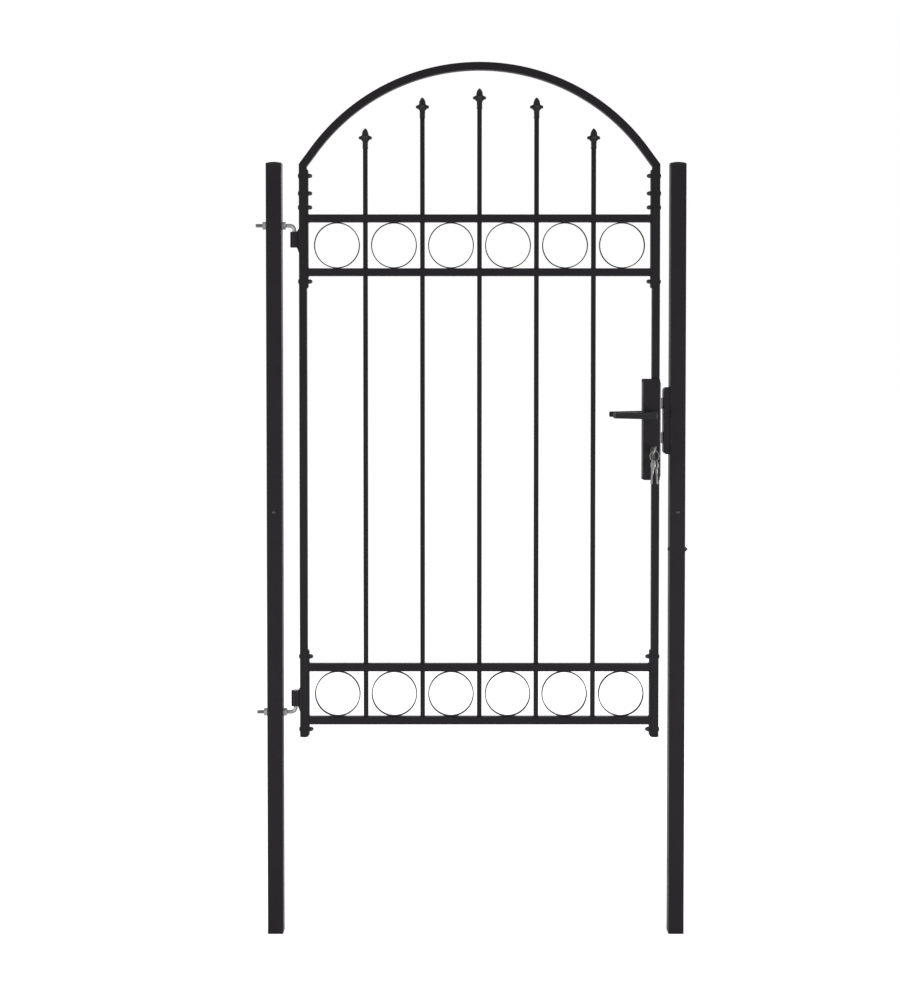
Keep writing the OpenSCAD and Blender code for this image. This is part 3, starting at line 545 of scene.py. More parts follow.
# %% Both rows of rings
RING_WALL = 2.5 * MM
RING_ROUND = 0.5 * MM
ring_places = {}
for band in ("upper", "lower"):
    boxes = solids_of(f"{band}_rings")
    centres = [(low + high) / 2 for low, high in boxes]
    outer = (boxes[0][1].x - boxes[0][0].x) / 2
    ring_places[band] = centres
    piece = grow(f"{band}_ring_row", ring_row, bpy.data.meshes.new("row"), black_coat,
                 Count=len(centres), Pitch=centres[1].x - centres[0].x,
                 Radius=outer - RING_WALL / 2, Wall=RING_WALL,
                 Depth=boxes[0][1].y - boxes[0][0].y, Corner_Radius=RING_ROUND)
    piece.data.transform(Matrix.Translation(centres[0]))
    dress(even_shading(piece), black_coat, f"{band}_rings")

# %% [markdown]
# ## Bolts and screws
# The stiles are bolted through with round-headed bolts, and a cap nut covers each thread end.
# A bolt is turned on a lathe, so its half outline is turned about its axis. Where a nut has
# flats, the outline is cut back to a hexagon, which also draws the curved chamfers at its corners.
# One bolt is modelled, and a tree sets a copy on each point, aimed along an arrow kept there.

# %% A helper that turns an outline
AROUND = 36


def turned(name, outline, flats=0.0):
    """A closed solid about Z from (radius, height) points. (radius, height, True) cuts a hexagon."""
    solid, rings = bmesh.new(), []
    for radius, height, *hexed in outline:
        ring = []
        for step in range(AROUND):
            angle = 2 * math.pi * step / AROUND
            off_flat = (angle + math.pi / 6) % (math.pi / 3) - math.pi / 6
            reach = min(radius, flats / 2 / math.cos(off_flat)) if hexed else radius
            ring.append(solid.verts.new((reach * math.cos(angle), reach * math.sin(angle), height)))
        rings.append(ring)
    for lower, upper in zip(rings, rings[1:]):
        for i in range(AROUND):
            j = (i + 1) % AROUND
            solid.faces.new((lower[i], lower[j], upper[j], upper[i]))
    solid.faces.new(rings[0][::-1])
    solid.faces.new(rings[-1])
    return mesh_of(name, solid)


def dome_outline(radius, height, start, steps=7):
    """Points of a dome that rises by a height from its start and ends in a tiny flat top."""
    angles = [math.pi / 2 * i / steps for i in range(steps)] + [math.pi / 2 * 0.97]
    return [(radius * math.cos(a), start + height * math.sin(a)) for a in angles]


def hex_outline(flats, start, height, steps=3):
    """Points of a hexagon nut whose corners are chamfered on both faces."""
    corner = flats / math.sqrt(3)
    slope = (corner - flats / 2) / 2
    lower = [(flats / 2 + (corner - flats / 2) * i / steps, start + slope * i / steps, True)
             for i in range(steps + 1)]
    upper = [(radius, 2 * start + height - z, True) for radius, z, _ in lower[::-1]]
    return lower + upper


# %% The side bolt, drawn from its head at zero towards its nut
HEAD_RADIUS = 6.5 * MM
HEAD_HEIGHT = 3.4 * MM
HEAD_RIM = 0.6 * MM
SHANK = 3 * MM
CAP_NUT_FLATS = 11 * MM
CAP_NUT_HEIGHT = 10.5 * MM
CAP_STEP = 0.25 * MM
BAR = 4 * MM
GRIP = TUBE + BAR


def head_outline():
    """A low round head that ends at zero, from its top down to its rim."""
    crown = dome_outline(HEAD_RADIUS, HEAD_HEIGHT - HEAD_RIM, HEAD_RIM)
    return [(radius, -height) for radius, height in crown[::-1]] + [
        (HEAD_RADIUS, 0.0), (SHANK, 0.0)]


hex_height = CAP_NUT_HEIGHT / 2
cap_radius = CAP_NUT_FLATS / 2 - CAP_STEP
side_bolt = turned("side_bolt", head_outline() + [(SHANK, GRIP)]
                   + hex_outline(CAP_NUT_FLATS, GRIP, hex_height)
                   + dome_outline(cap_radius, CAP_NUT_HEIGHT - hex_height, GRIP + hex_height),
                   CAP_NUT_FLATS)
print("one side bolt has", len(side_bolt.polygons), "faces")

# %% The tree that sets a part on each point
tree, sizes = new_tree("set_out", {"Part": "part"})
part = add(tree, "GeometryNodeObjectInfo", {"Object": sizes["Part"]}).outputs["Geometry"]
turn = add(tree, "FunctionNodeAlignRotationToVector", {
    "Vector": reading(tree, "aim", "FLOAT_VECTOR")}, axis="Z")
copies = add(tree, "GeometryNodeInstanceOnPoints", {
    "Points": sizes["Geometry"], "Instance": part, "Rotation": turn})
set_out = end_tree(tree, copies, sizes)


# %% A helper that sets out a part
def point_mesh(name, places):
    """A mesh of loose points from (place, aim) pairs, each with its arrow kept as aim."""
    mesh = bpy.data.meshes.new(name)
    mesh.from_pydata([tuple(place) for place, _ in places], [], [])
    arrows = mesh.attributes.new("aim", "FLOAT_VECTOR", "POINT")
    arrows.data.foreach_set("vector", [v for _, aim in places for v in aim])
    return mesh


def set_parts(name, part_mesh, places, finish):
    """Copies of a part at (place, aim) pairs, as one piece with even shading."""
    part = new_piece(name + "_part", part_mesh)
    piece = grow(name, set_out, point_mesh(name, places), finish, Part=part)
    bpy.data.objects.remove(part)
    return even_shading(piece, sharp=32)


# %% The side bolts of both stiles
for side, aim in (("hinge", 1), ("lock", -1)):
    places = []
    for low, high in solids_of(f"{side}_side_bolts"):
        outer = low.x + HEAD_HEIGHT if aim > 0 else high.x - HEAD_HEIGHT
        places.append(((outer, 0, (low.z + high.z) / 2), (aim, 0, 0)))
    dress(set_parts(f"{side}_stile_bolts", side_bolt, places, bolt_black), bolt_black,
          f"{side}_side_bolts")

# %% [markdown]
# The post screws have a pan head with a cross recess. The recess is cut once, in the one screw
# that is copied, with a Boolean modifier for each arm of the cross. The keys' grooves are milled
# by the same helper.

# %% A helper that cuts grooves and recesses
SLOT_WIDTH = 1.1 * MM


def cut_blocks(mesh, blocks):
    """The mesh without some blocks, each given by its three sizes and its centre."""
    part = new_piece("part", mesh)
    cutters = []
    for block_sizes, centre in blocks:
        cutter = bmesh.new()
        bmesh.ops.create_cube(cutter, size=1.0, matrix=Matrix.Translation(centre)
                              @ Matrix.Diagonal((*block_sizes, 1)))
        cutters.append(new_piece("cutter", mesh_of("cutter", cutter)))
        cut = part.modifiers.new("cut", "BOOLEAN")
        cut.operation = "DIFFERENCE"
        cut.solver = "EXACT"
        cut.object = cutters[-1]
    mesh = bake(part).data
    for piece in cutters + [part]:
        bpy.data.objects.remove(piece)
    return mesh


def cut_cross(mesh, size, depth, top):
    """Cuts a cross recess of a size and depth into a part, down from a height on its axis."""
    return cut_blocks(mesh, [((size, SLOT_WIDTH, 2 * depth), (0, 0, top)),
                             ((SLOT_WIDTH, size, 2 * depth), (0, 0, top))])


# %% The post screws and the bolt through the latch post
SCREW_RADIUS = 5 * MM
SCREW_HEIGHT = 2.4 * MM
SCREW_LENGTH = 12 * MM
CROSS = 4.6 * MM
CROSS_DEPTH = 1.3 * MM
POST_NUT = 5 * MM

pan_head = turned("pan_head", [(SHANK, -SCREW_LENGTH), (SHANK, 0), (SCREW_RADIUS, 0)]
                  + dome_outline(SCREW_RADIUS, SCREW_HEIGHT - HEAD_RIM, HEAD_RIM))
post_screw = cut_cross(pan_head, CROSS, CROSS_DEPTH, SCREW_HEIGHT)
through, screws = [], []
for low, high in solids_of("post_bolts"):
    if high.y - low.y > high.x - low.x:
        screws.append((((low.x + high.x) / 2, low.y + SCREW_HEIGHT, (low.z + high.z) / 2),
                       (0, -1, 0)))
    else:
        through.append(((low.x + HEAD_HEIGHT, 0, (low.z + high.z) / 2), (1, 0, 0)))
        post_width = high.x - low.x - HEAD_HEIGHT - POST_NUT - SHANK
nut_end = post_width + POST_NUT
post_bolt = turned("post_bolt", head_outline() + [(SHANK, post_width)]
                   + hex_outline(CAP_NUT_FLATS, post_width, POST_NUT)
                   + [(SHANK, nut_end), (SHANK, nut_end + 2 * SHANK / 3),
                      (2 * SHANK / 3, nut_end + SHANK)], CAP_NUT_FLATS)
dress(set_parts("post_screws", post_screw, screws, bolt_black), bolt_black, "post_bolts")
trim(set_parts("latch_post_bolt", post_bolt, through, bolt_black), bolt_black, "post_bolts")

# %% [markdown]
# ## The hinge rods
# A hinge is a threaded rod with a bent end. Two nuts clamp it to the post, which sets how far
# the leaf hangs out, and the smooth bent end is the pin. The thread could be a bump in the
# material, but it shows against the sky, so it is real: the rod is swept along its bent line,
# and every point of its surface is then moved in by a wave that winds round the rod once a pitch.

# %% The tree for a threaded rod
tree, sizes = new_tree("threaded_rod", {
    "Radius": float, "Thread Length": float, "Pitch": float, "Depth": float})
curve = evenly_spaced(tree, sizes["Geometry"], sizes["Pitch"])
along = add(tree, "GeometryNodeSplineParameter").outputs
here = add(tree, "GeometryNodeInputPosition")
curve = keep(tree, curve, "heart", here, "FLOAT_VECTOR")
curve = keep(tree, curve, "run", along["Length"])
section = add(tree, "GeometryNodeCurvePrimitiveCircle", {
    "Resolution": 20, "Radius": sizes["Radius"]})
section = keep(tree, section, "round", along["Factor"])
rod = add(tree, "GeometryNodeCurveToMesh", {
    "Curve": curve, "Profile Curve": section, "Scale": reading(tree, "girth"),
    "Fill Caps": True})
run = reading(tree, "run")
winding = math_node(tree, "MULTIPLY_ADD", run, math_node(tree, "DIVIDE", 1.0, sizes["Pitch"]),
                    reading(tree, "round"))
wave = math_node(tree, "PINGPONG", math_node(tree, "MULTIPLY", winding, 2.0), 1.0)
left = math_node(tree, "DIVIDE", math_node(tree, "SUBTRACT", sizes["Thread Length"], run),
                 sizes["Pitch"])
fade = add(tree, "ShaderNodeClamp", {"Value": left})
cut = math_node(tree, "MULTIPLY", math_node(tree, "MULTIPLY", wave, sizes["Depth"]), fade)
out_of = vector_node(tree, "SUBTRACT", here, reading(tree, "heart", "FLOAT_VECTOR"))
inward = add(tree, "ShaderNodeVectorMath", {
    0: vector_node(tree, "NORMALIZE", out_of), "Scale": math_node(tree, "MULTIPLY", cut, -1.0)},
    operation="SCALE")
rod = add(tree, "GeometryNodeSetPosition", {"Geometry": rod, "Offset": inward})
threaded_rod = end_tree(tree, rod, sizes)

# %% Both hinge rods and their washers
BEND = 12 * MM
ROD_CHAMFER = 1 * MM
THREAD_PITCH = 1.5 * MM
THREAD_DEPTH = 0.85 * MM
BEND_STEPS = 14
SPARE_THREAD = 4 * MM


def rod_line(low, high, up):
    """Points of a rod's middle from its thread end round the bend to the pin's end."""
    radius = (high.y - low.y) / 2
    pin_x = high.x - radius
    axis_z, end_z = (low.z + radius, high.z) if up else (high.z - radius, low.z)
    way = 1 if up else -1
    corner = Vector((pin_x - BEND, 0, axis_z + way * BEND))
    arc = [corner + BEND * Vector((math.sin(a), 0, -way * math.cos(a)))
           for a in (math.pi / 2 * i / BEND_STEPS for i in range(BEND_STEPS + 1))]
    start, end = Vector((low.x, 0, axis_z)), Vector((pin_x, 0, end_z))
    points = [start, start + Vector((ROD_CHAMFER, 0, 0))] + arc
    points += [end - Vector((0, 0, way * ROD_CHAMFER)), end]
    thin = 1 - ROD_CHAMFER / radius
    return points, [thin] + [1.0] * (len(points) - 2) + [thin], radius


for place, up in (("upper", False), ("lower", True)):
    solids = solids_of(f"{place}_hinge_pin")
    (low, high), (ring_low, ring_high) = sorted(solids, key=lambda box: box[0].x)
    points, girths, rod_radius = rod_line(low, high, up)
    rod = grow(f"{place}_hinge_rod", threaded_rod,
               line_mesh("rod_line", [points], girth=girths), zinc_plate, Radius=rod_radius,
               Thread_Length=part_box(f"{place}_hinge_nuts")[1].x - low.x + SPARE_THREAD,
               Pitch=THREAD_PITCH, Depth=THREAD_DEPTH)
    dress(even_shading(rod, sharp=50), zinc_plate, f"{place}_hinge_pin")
    washer = turned("pin_washer", [
        ((ring_high.y - ring_low.y) / 2, z) for z in (ring_low.z, ring_high.z)])
    washer.transform(Matrix.Translation(((ring_low.x + ring_high.x) / 2, 0, 0)))
    trim(even_shading(new_piece(f"{place}_pin_washer", washer)), zinc_plate,
         f"{place}_hinge_pin")

# %% [markdown]
# ## Castings
# The spearheads are cast. A casting has no sharp corner inside or out, because sand and metal
# both round it. Bevels can't do that where many small forms run together, so the CAD form is
# remeshed into very fine even cells, and a few passes of smoothing melt its corners. After that
# most cells are spare, and Decimate takes them away where the surface is flat.
# The levers are cast too, but then they are ground flat. Remeshing leaves small steps on long
# flats that slope, so they keep their flat faces and get bevelled edges instead.

# %% A helper that casts a form
def cast(name, mesh, grain, passes, kept):
    """A soft-cornered copy of a closed form, made of cells of a size, thinned to a share."""
    piece = new_piece(name, mesh)
    skin = piece.modifiers.new("skin", "REMESH")
    skin.mode = "VOXEL"
    skin.voxel_size = grain
    melt = piece.modifiers.new("melt", "SMOOTH")
    melt.factor = 0.5
    melt.iterations = passes
    thin = piece.modifiers.new("thin", "DECIMATE")
    thin.ratio = kept
    bake(piece)
    piece.data.shade_smooth()
    return piece


# %% The five spearheads
CAST_GRAIN = 0.3 * MM
MELT_PASSES = 8
KEPT_SHARE = 0.13

spears = solids_of("spearheads")
first_low, first_high = spears[0]
single = bmesh.new()
single.from_mesh(clean_copy("spearheads"))
others = [v for v in single.verts if v.co.x > first_high.x + MM]
bmesh.ops.delete(single, geom=others, context="VERTS")
spear_foot = Vector(((first_low.x + first_high.x) / 2, 0, first_low.z))
bmesh.ops.translate(single, verts=single.verts, vec=-spear_foot)
spear = cast("spear", mesh_of("spear", single), CAST_GRAIN, MELT_PASSES, KEPT_SHARE)
places = [(((low.x + high.x) / 2, 0, low.z), (0, 0, 1)) for low, high in spears]
heads = grow("cast_spearheads", set_out, point_mesh("spears", places), cast_coat, Part=spear)
bpy.data.objects.remove(spear)
dress(heads, cast_coat, "spearheads")

# %% The two levers
round_edges("levers", EDGE["lever"], handle_coat, segments=3)

# %% [markdown]
# ## Keys
# A key is stamped from sheet, and then its blade is cut in steps and grooved along its side.
# A flat curve with a second curve for the hole fills itself, and its own bevel rounds the edges.
# The depths of the cuts come from a seeded draw, so that each key is the same on every run.

# %% One cut key, flat, with its blade along +Y
KEY_THICK = 2.2 * MM
KEY_ROUND = 0.3 * MM
BLADE_LENGTH = 32 * MM
BLADE_WIDTH = 8 * MM
SHOULDER_WIDTH = 11 * MM
SHOULDER_LENGTH = 8 * MM
BOW = 12.5 * MM
BOW_STEPS = 40
BOW_OVERLAP = 1 * MM
BOW_Y = BOW_OVERLAP - SHOULDER_LENGTH - BOW
HOLE = 3 * MM
HOLE_STEPS = 24
HOLE_INSET = 5 * MM
HOLE_Y = BOW_Y - BOW + HOLE_INSET
FIRST_CUT = 4 * MM
CUT_STEP = 4.4 * MM
CUT_FLAT = 0.9 * MM
CUT_CREST = 0.3 * MM
CUT_DEEPEST = 2.6 * MM


def blade_cuts(draw):
    """Corners of the cut edge of a blade, from the shoulder to the tip."""
    half, y, corners = BLADE_WIDTH / 2, FIRST_CUT, []
    while y + CUT_STEP < BLADE_LENGTH - half:
        depth = draw.choice((0.3, 0.55, 0.8, 1.0)) * CUT_DEEPEST
        corners += [(half, y), (half - depth, y + depth), (half - depth, y + depth + CUT_FLAT),
                    (half - CUT_CREST, y + CUT_STEP)]
        y += CUT_STEP
    return corners


def key_outline(seed):
    """The outline of a key: the bow's round, the shoulder, the cuts and the point."""
    half, wide = BLADE_WIDTH / 2, SHOULDER_WIDTH / 2
    meet = math.asin(wide / BOW)
    sweep = 2 * (math.pi - meet) / BOW_STEPS
    round_bow = [(BOW * math.sin(a), BOW_Y + BOW * math.cos(a)) for a in
                 (-meet - sweep * i for i in range(BOW_STEPS + 1))]
    return round_bow + [(wide, 0), (half, 0)] + blade_cuts(random.Random(seed)) + [
        (half, BLADE_LENGTH - half), (0, BLADE_LENGTH), (-half, BLADE_LENGTH - half),
        (-half, 0), (-wide, 0)]


def curve_mesh(curve):
    """The mesh that a curve shows."""
    shown = new_piece(curve.name, curve)
    mesh = evaluated_mesh(shown)
    bpy.data.objects.remove(shown)
    return mesh


def flat_key(name, seed):
    """A key as a mesh, in the XY plane, as thick as the real one."""
    flat = bpy.data.curves.new(name, "CURVE")
    flat.dimensions = "2D"
    flat.fill_mode = "BOTH"
    flat.extrude = KEY_THICK / 2 - KEY_ROUND
    flat.bevel_depth = KEY_ROUND
    flat.offset = -KEY_ROUND
    flat.bevel_resolution = 1
    hole = [(HOLE * math.cos(a), HOLE_Y + HOLE * math.sin(a)) for a in
            (2 * math.pi * i / HOLE_STEPS for i in range(HOLE_STEPS))]
    for outline in (key_outline(seed), hole):
        spline = flat.splines.new("POLY")
        spline.points.add(len(outline) - 1)
        for point, (x, y) in zip(spline.points, outline):
            point.co = (x, y, 0, 1)
        spline.use_cyclic_u = True
    return curve_mesh(flat)


# %% A groove along each side of the blade
GROOVE_WIDTH = 1.6 * MM
GROOVE_DEPTH = 0.45 * MM
GROOVE_LENGTH = BLADE_LENGTH + 6 * MM
GROOVE_MIDDLE = BLADE_LENGTH / 2 - 2 * MM
FRONT_GROOVE = -1.2 * MM
BACK_GROOVE = 0.6 * MM


def grooved(mesh):
    """Mills a groove along both faces of a key's blade."""
    return cut_blocks(mesh, [((GROOVE_WIDTH, GROOVE_LENGTH, 2 * GROOVE_DEPTH),
                              (offset, GROOVE_MIDDLE, side * KEY_THICK / 2))
                             for side, offset in ((1, FRONT_GROOVE), (-1, BACK_GROOVE))])


def join(name, meshes):
    """One piece from several meshes."""
    whole = bmesh.new()
    for mesh in meshes:
        whole.from_mesh(mesh)
    return new_piece(name, mesh_of(name, whole))


# %% [markdown]
# The key in the lock was left turned a little, and its ring hangs turned on the upright. A chain
# of matrices places them: each one moves from a frame that is easy to think in to the next.
# Multiplied from left to right, they read from the gate down to the key.

# %% Places of the three keys
KEY_TURN = math.radians(25)
RING_TURN = math.radians(20)
KEY_SPREAD = math.radians(12)
KEY_SPLAY = math.radians(6)
RING_RADIUS = 13 * MM
WIRE = 0.9 * MM
RING_DROP = 0.7 * MM
KEY_SEAT = 0.3 * MM
KEY_DROP = HOLE - WIRE - KEY_SEAT
FACE_GAP = 0.2 * MM
CYLINDER_ROUND = 8.5 * MM

barrel_low, barrel_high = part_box("key_cylinder")
keyway = Vector(((barrel_low.x + barrel_high.x) / 2, barrel_low.y - FACE_GAP,
                 barrel_high.z - CYLINDER_ROUND))
upright = Matrix.Rotation(math.pi / 2, 4, "Y")
in_lock = Matrix.Translation(keyway) @ Matrix.Rotation(KEY_TURN, 4, "Y") @ upright
ring_centre = keyway + Vector((0, HOLE_Y, -RING_RADIUS - RING_DROP))
ring_place = Matrix.Translation(ring_centre) @ Matrix.Rotation(RING_TURN, 4, "Z")


def hanging(side):
    """Where a spare key hangs on the ring, to one side of its lowest point."""
    return (ring_place @ Matrix.Rotation(side * KEY_SPREAD, 4, "Y")
            @ Matrix.Translation((0, 0, -RING_RADIUS - KEY_DROP))
            @ Matrix.Rotation(side * (KEY_SPLAY - KEY_SPREAD), 4, "Y")
            @ Matrix.Rotation(-math.pi / 2, 4, "X")
            @ Matrix.Translation((0, -HOLE_Y, 0)) @ upright)


# %% The split ring, wound twice from wire
COIL_TURNS = 2
COIL_STEPS = 72
COIL_GAP = 0.95 * MM


def split_ring():
    """A ring of wire wound twice, its two turns side by side."""
    coil = bpy.data.curves.new("coil", "CURVE")
    coil.dimensions = "3D"
    coil.bevel_depth = COIL_GAP / 2
    coil.bevel_resolution = 3
    coil.use_fill_caps = True
    line = coil.splines.new("POLY")
    count = COIL_STEPS * COIL_TURNS
    line.points.add(count)
    for step in range(count + 1):
        angle = 2 * math.pi * step / COIL_STEPS
        rise = COIL_GAP * (step / COIL_STEPS - COIL_TURNS / 2)
        line.points[step].co = (RING_RADIUS * math.sin(angle), rise,
                                RING_RADIUS * math.cos(angle), 1)
    return curve_mesh(coil)


# %% The keys in place
used = grooved(flat_key("used_key", 3))
used.transform(in_lock)
dress(even_shading(join("cut_key_in_lock", [used])), key_nickel, "key_in_lock")
wire = split_ring()
wire.transform(ring_place)
spares = [wire]
for side, seed in ((-1, 5), (1, 8)):
    spare = grooved(flat_key("spare_key", seed))
    spare.transform(hanging(side))
    spares.append(spare)
dress(even_shading(join("cut_spare_keys", spares)), key_nickel, "spare_keys")

# %% [markdown]
# ## Welds
# Rails, pickets and rings are joined by short weld beads. A bead is a row of small overlapping
# pools, so it looks like a ripple along a line. Each bead is a short line in one mesh, and a
# tree sweeps a small circle along it whose size ripples, wavers and fades out at both ends.

# %% The tree for a weld bead
tree, sizes = new_tree("weld_bead", {
    "Bead Radius": float, "Ripple Pitch": float, "Ripple Depth": float, "Seed": float})
curve = evenly_spaced(tree, sizes["Geometry"], sizes["Ripple Pitch"])
run = add(tree, "GeometryNodeSplineParameter").outputs["Length"]
whole = add(tree, "GeometryNodeSplineLength").outputs["Length"]
phase = math_node(tree, "MULTIPLY", math_node(tree, "DIVIDE", run, sizes["Ripple Pitch"]), math.pi)
ripple = math_node(tree, "MULTIPLY", math_node(tree, "ABSOLUTE", math_node(tree, "SINE", phase)),
                   sizes["Ripple Depth"])
waver = add(tree, "ShaderNodeTexNoise", {
    "Vector": add(tree, "GeometryNodeInputPosition"), "W": sizes["Seed"],
    "Scale": 300.0, "Detail": 1.0}, noise_dimensions="4D")
fat = math_node(tree, "MULTIPLY_ADD", waver, 0.4, 0.6)
fat = math_node(tree, "ADD", fat, ripple)
to_end = math_node(tree, "MINIMUM", run, math_node(tree, "SUBTRACT", whole, run))
fade = math_node(tree, "DIVIDE", to_end, math_node(tree, "MULTIPLY", sizes["Bead Radius"], 1.5))
fade = add(tree, "ShaderNodeClamp", {"Value": fade, "Min": 0.25})
girth = math_node(tree, "MULTIPLY", math_node(tree, "MULTIPLY", fat, fade), reading(tree, "girth"))
section = add(tree, "GeometryNodeCurvePrimitiveCircle", {
    "Resolution": 8, "Radius": sizes["Bead Radius"]})
bead = add(tree, "GeometryNodeCurveToMesh", {
    "Curve": curve, "Profile Curve": section, "Scale": girth, "Fill Caps": True})
bead = add(tree, "GeometryNodeSetShadeSmooth", {"Geometry": bead})
weld_bead = end_tree(tree, bead, sizes)

# %% Where the leaf is welded
TACK = 4 * MM
RING_TACK = 2.5 * MM
leaf_beads = []
band_rails = {band: [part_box(f"{band}_band_{side}_rail") for side in ("bottom", "top")]
              for band in ("upper", "lower")}
picket_boxes = [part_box(f"picket_{number}") for number in range(1, 6)]


def across(x, z, reach, girth):
    """A bead that runs front to back at a place."""
    return [(x, -reach, z), (x, reach, z)], girth


for band, rails in band_rails.items():
    for (low, high), face in zip(rails, (rails[0][1].z, rails[1][0].z)):
        for x in (low.x, high.x):
            leaf_beads += [across(x, z, 2 * TACK, 1.0) for z in (low.z, high.z)]
        for pick_low, pick_high in picket_boxes:
            leaf_beads += [across(x, face, TACK, 0.8) for x in (pick_low.x, pick_high.x)]
        for centre in ring_places[band]:
            leaf_beads += [across(centre.x + side * RING_TACK, face, TACK, 0.6)
                           for side in (-1, 1)]

# %% Welds round the hinge plates and the lock box
PLATE_EDGE = 7 * MM
for place in ("upper", "lower"):
    low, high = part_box(f"{place}_hinge_barrel")
    for y in (-PLATE_EDGE, PLATE_EDGE):
        leaf_beads.append(([(high.x, y, low.z + TACK), (high.x, y, high.z - TACK)], 1.0))
box_low, box_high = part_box("lock_box")
outer, inner = box_high.x - MM, box_high.x - TUBE
for z in (box_low.z, box_high.z):
    leaf_beads.append(([(outer, -TUBE / 2, z), (inner, -TUBE / 2, z), (inner, TUBE / 2, z),
                        (outer, TUBE / 2, z)], 0.9))

# %% Welds over the mitres of the arch, ground nearly flush
for side in (-1, 1):
    for y in (-TUBE / 2, TUBE / 2):
        corners = [arch_path(inset)[1] for inset in (TUBE_ROUND / 2, TUBE - TUBE_ROUND / 2)]
        leaf_beads.append(([arch_centre + Vector((side * p.x, y, p.z)) for p in corners], 0.5))

# %% Welds between the keeper and its post
keeper_low, keeper_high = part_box("keeper")
post_beads = [across(keeper_high.x, z, 3 * TACK, 1.0) for z in (keeper_low.z, keeper_high.z)]
for y in (keeper_low.y, keeper_high.y):
    for share in (0.2, 0.8):
        z = keeper_low.z + share * (keeper_high.z - keeper_low.z)
        post_beads.append(([(keeper_high.x, y, z - 3 * TACK), (keeper_high.x, y, z + 3 * TACK)],
                           1.0))
print(len(leaf_beads), "beads on the leaf and", len(post_beads), "on the keeper")

# %% The beads
BEAD_RADIUS = 1.7 * MM
RIPPLE_PITCH = 1.6 * MM
RIPPLE_DEPTH = 0.22
BEAD_SEED = 4.0


def weld(name, beads, like):
    """All beads of one body, grown from one mesh of edges."""
    girths = [girth for line, girth in beads for _ in line]
    mesh = line_mesh(name, [line for line, _ in beads], girth=girths)
    piece = grow(name, weld_bead, mesh, black_coat, Bead_Radius=BEAD_RADIUS,
                 Ripple_Pitch=RIPPLE_PITCH, Ripple_Depth=RIPPLE_DEPTH, Seed=BEAD_SEED)
    return trim(piece, black_coat, like)


weld("leaf_welds", leaf_beads, "hinge_stile")
weld("keeper_welds", post_beads, "keeper")

# %% [markdown]
# ## Countersunk screws
# Two screws hold the faceplate on the lock case, and two hold the lock plates, driven from the
# back so that the street side shows none. A sunk head is a cone that ends flush with its plate,
# so only a low disc and its cross recess have to be made.

# %% The countersunk screw
SUNK_RADIUS = 3.6 * MM
SUNK_PROUD = 0.15 * MM
SUNK_EDGE = 0.2 * MM
SUNK_CROSS = 3.4 * MM
SUNK_CROSS_DEPTH = 0.9 * MM

sunk_head = turned("sunk_head", [(SHANK / 2, -SHANK), (SUNK_RADIUS, 0),
                                 (SUNK_RADIUS - SUNK_EDGE, SUNK_PROUD)])
sunk_screw = cut_cross(sunk_head, SUNK_CROSS, SUNK_CROSS_DEPTH, SUNK_PROUD)
print("one sunk screw has", len(sunk_screw.polygons), "faces")

# %% Screws of the faceplate and of the back lock plate
FACE_INSET = 11 * MM
PLATE_INSET = 12 * MM


def sunk_pair(name, node, aim, inset, finish):
    """Two screws in the middle of a node's face, at an inset from its top and its bottom."""
    low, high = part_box(node)
    face = (low + high) / 2 + aim * ((high - low) / 2).dot(aim)
    places = [((face.x, face.y, z), aim) for z in (low.z + inset, high.z - inset)]
    trim(set_parts(name, sunk_screw, places, finish), finish, node)


sunk_pair("faceplate_screws", "faceplate", Vector((1, 0, 0)), FACE_INSET, zinc_plate)
sunk_pair("back_plate_screws", "lock_plates", Vector((0, 1, 0)), PLATE_INSET, handle_coat)

# %% [markdown]
# ## Floor, background and light
# A studio picture of a black gate needs a white surround and soft light. The floor is a plain
# matt sheet that keeps the gate's shadow. A camera ray, a mirrored ray and a ray through glass
# all find the sheet and the background white, so the zinc and the keys mirror a white room.
# Every other ray finds a dimmer one, so the light that falls on the gate stays plain.

# %% Floor
FLOOR_REACH = 40.0
FLOOR_LIFT = 0.68


def seen_directly(tree):
    """1 for a ray that shows the background straight, mirrored or through glass, else 0."""
    path = add(tree, "ShaderNodeLightPath").outputs
    mirrored = math_node(tree, "MAXIMUM", path["Is Camera Ray"], path["Is Glossy Ray"])
    return math_node(tree, "MAXIMUM", mirrored, path["Is Transmission Ray"])


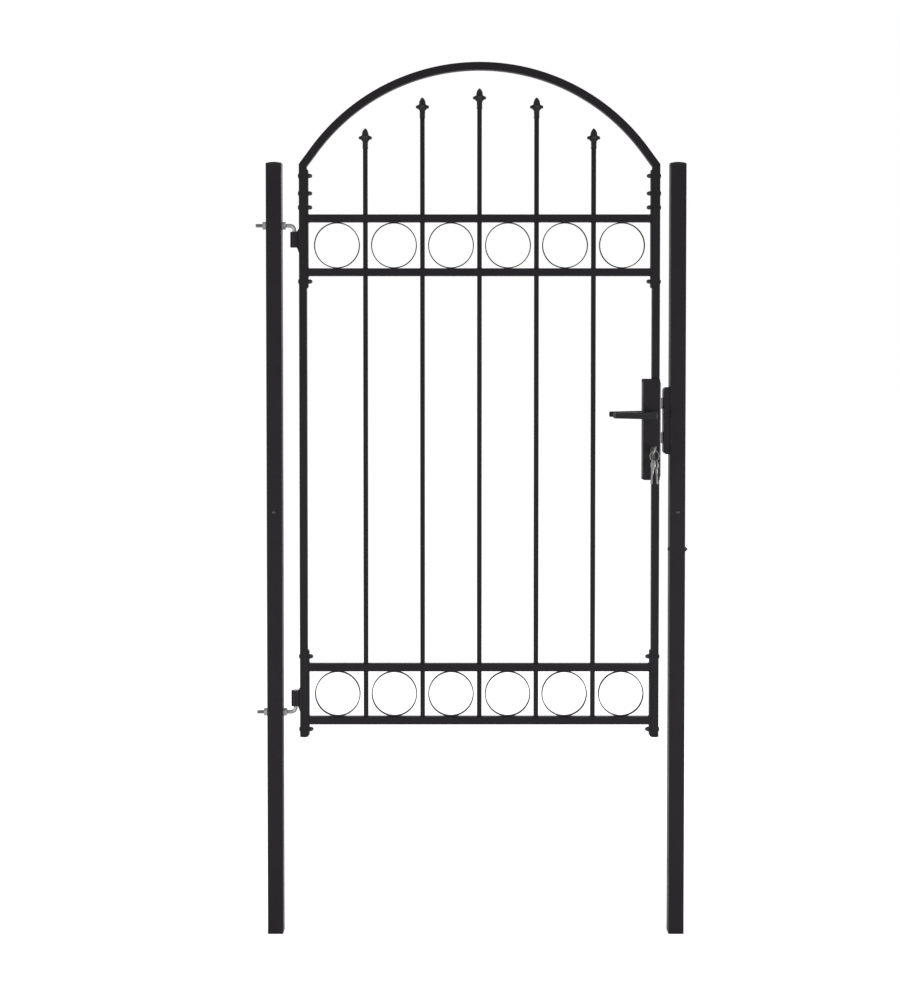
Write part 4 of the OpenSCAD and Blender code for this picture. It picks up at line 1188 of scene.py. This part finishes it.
sheet = bpy.data.meshes.new("floor")
sheet.from_pydata([(-FLOOR_REACH, -FLOOR_REACH, 0), (FLOOR_REACH, -FLOOR_REACH, 0),
                   (FLOOR_REACH, FLOOR_REACH, 0), (-FLOOR_REACH, FLOOR_REACH, 0)],
                  [], [(0, 1, 2, 3)])
floor = new_piece("floor", sheet)
pale, tree = blank_material("pale_floor")
lift = math_node(tree, "MULTIPLY", seen_directly(tree), FLOOR_LIFT)
matt = add(tree, "ShaderNodeBsdfDiffuse", {"Color": (0.8, 0.8, 0.8, 1)})
glow = add(tree, "ShaderNodeEmission", {"Color": (1, 1, 1, 1), "Strength": lift})
both = add(tree, "ShaderNodeAddShader", {0: matt, 1: glow})
add(tree, "ShaderNodeOutputMaterial", {"Surface": both})
sheet.materials.append(pale)
floor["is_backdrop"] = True
print("floor:", 2 * FLOOR_REACH, "m wide, staged")

# %% World
ROOM_LIGHT = 0.45
world = bpy.data.worlds.new("studio")
world.use_nodes = True
tree = world.node_tree
tree.nodes.clear()
level = add(tree, "ShaderNodeMapRange", {
    "Value": seen_directly(tree), "To Min": ROOM_LIGHT, "To Max": 1.0})
room = add(tree, "ShaderNodeBackground", {"Color": (1, 1, 1, 1), "Strength": level})
add(tree, "ShaderNodeOutputWorld", {"Surface": room})
bpy.context.scene.world = world
bpy.context.scene.view_settings.view_transform = "Standard"
print("the room gives", ROOM_LIGHT, "of the light that it shows")

# %% Lamps
LAMP_WIDTH = 1.6


def soft_box(name, place, power):
    """A square lamp that faces the middle of the gate."""
    light = bpy.data.lights.new(name, "AREA")
    light.size = LAMP_WIDTH
    light.energy = power
    lamp = new_piece(name, light)
    lamp.location = place
    lamp.rotation_euler = (middle - Vector(place)).to_track_quat("-Z", "Y").to_euler()
    print(name, "at", place, "gives", power, "W")


soft_box("key_lamp", (-2.4, -2.6, 0.9), 85)
soft_box("fill_lamp", (3.0, -2.2, 0.6), 66)
soft_box("back_lamp", (2.6, 3.6, 3.0), 70)

# %% Finish
low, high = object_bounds()
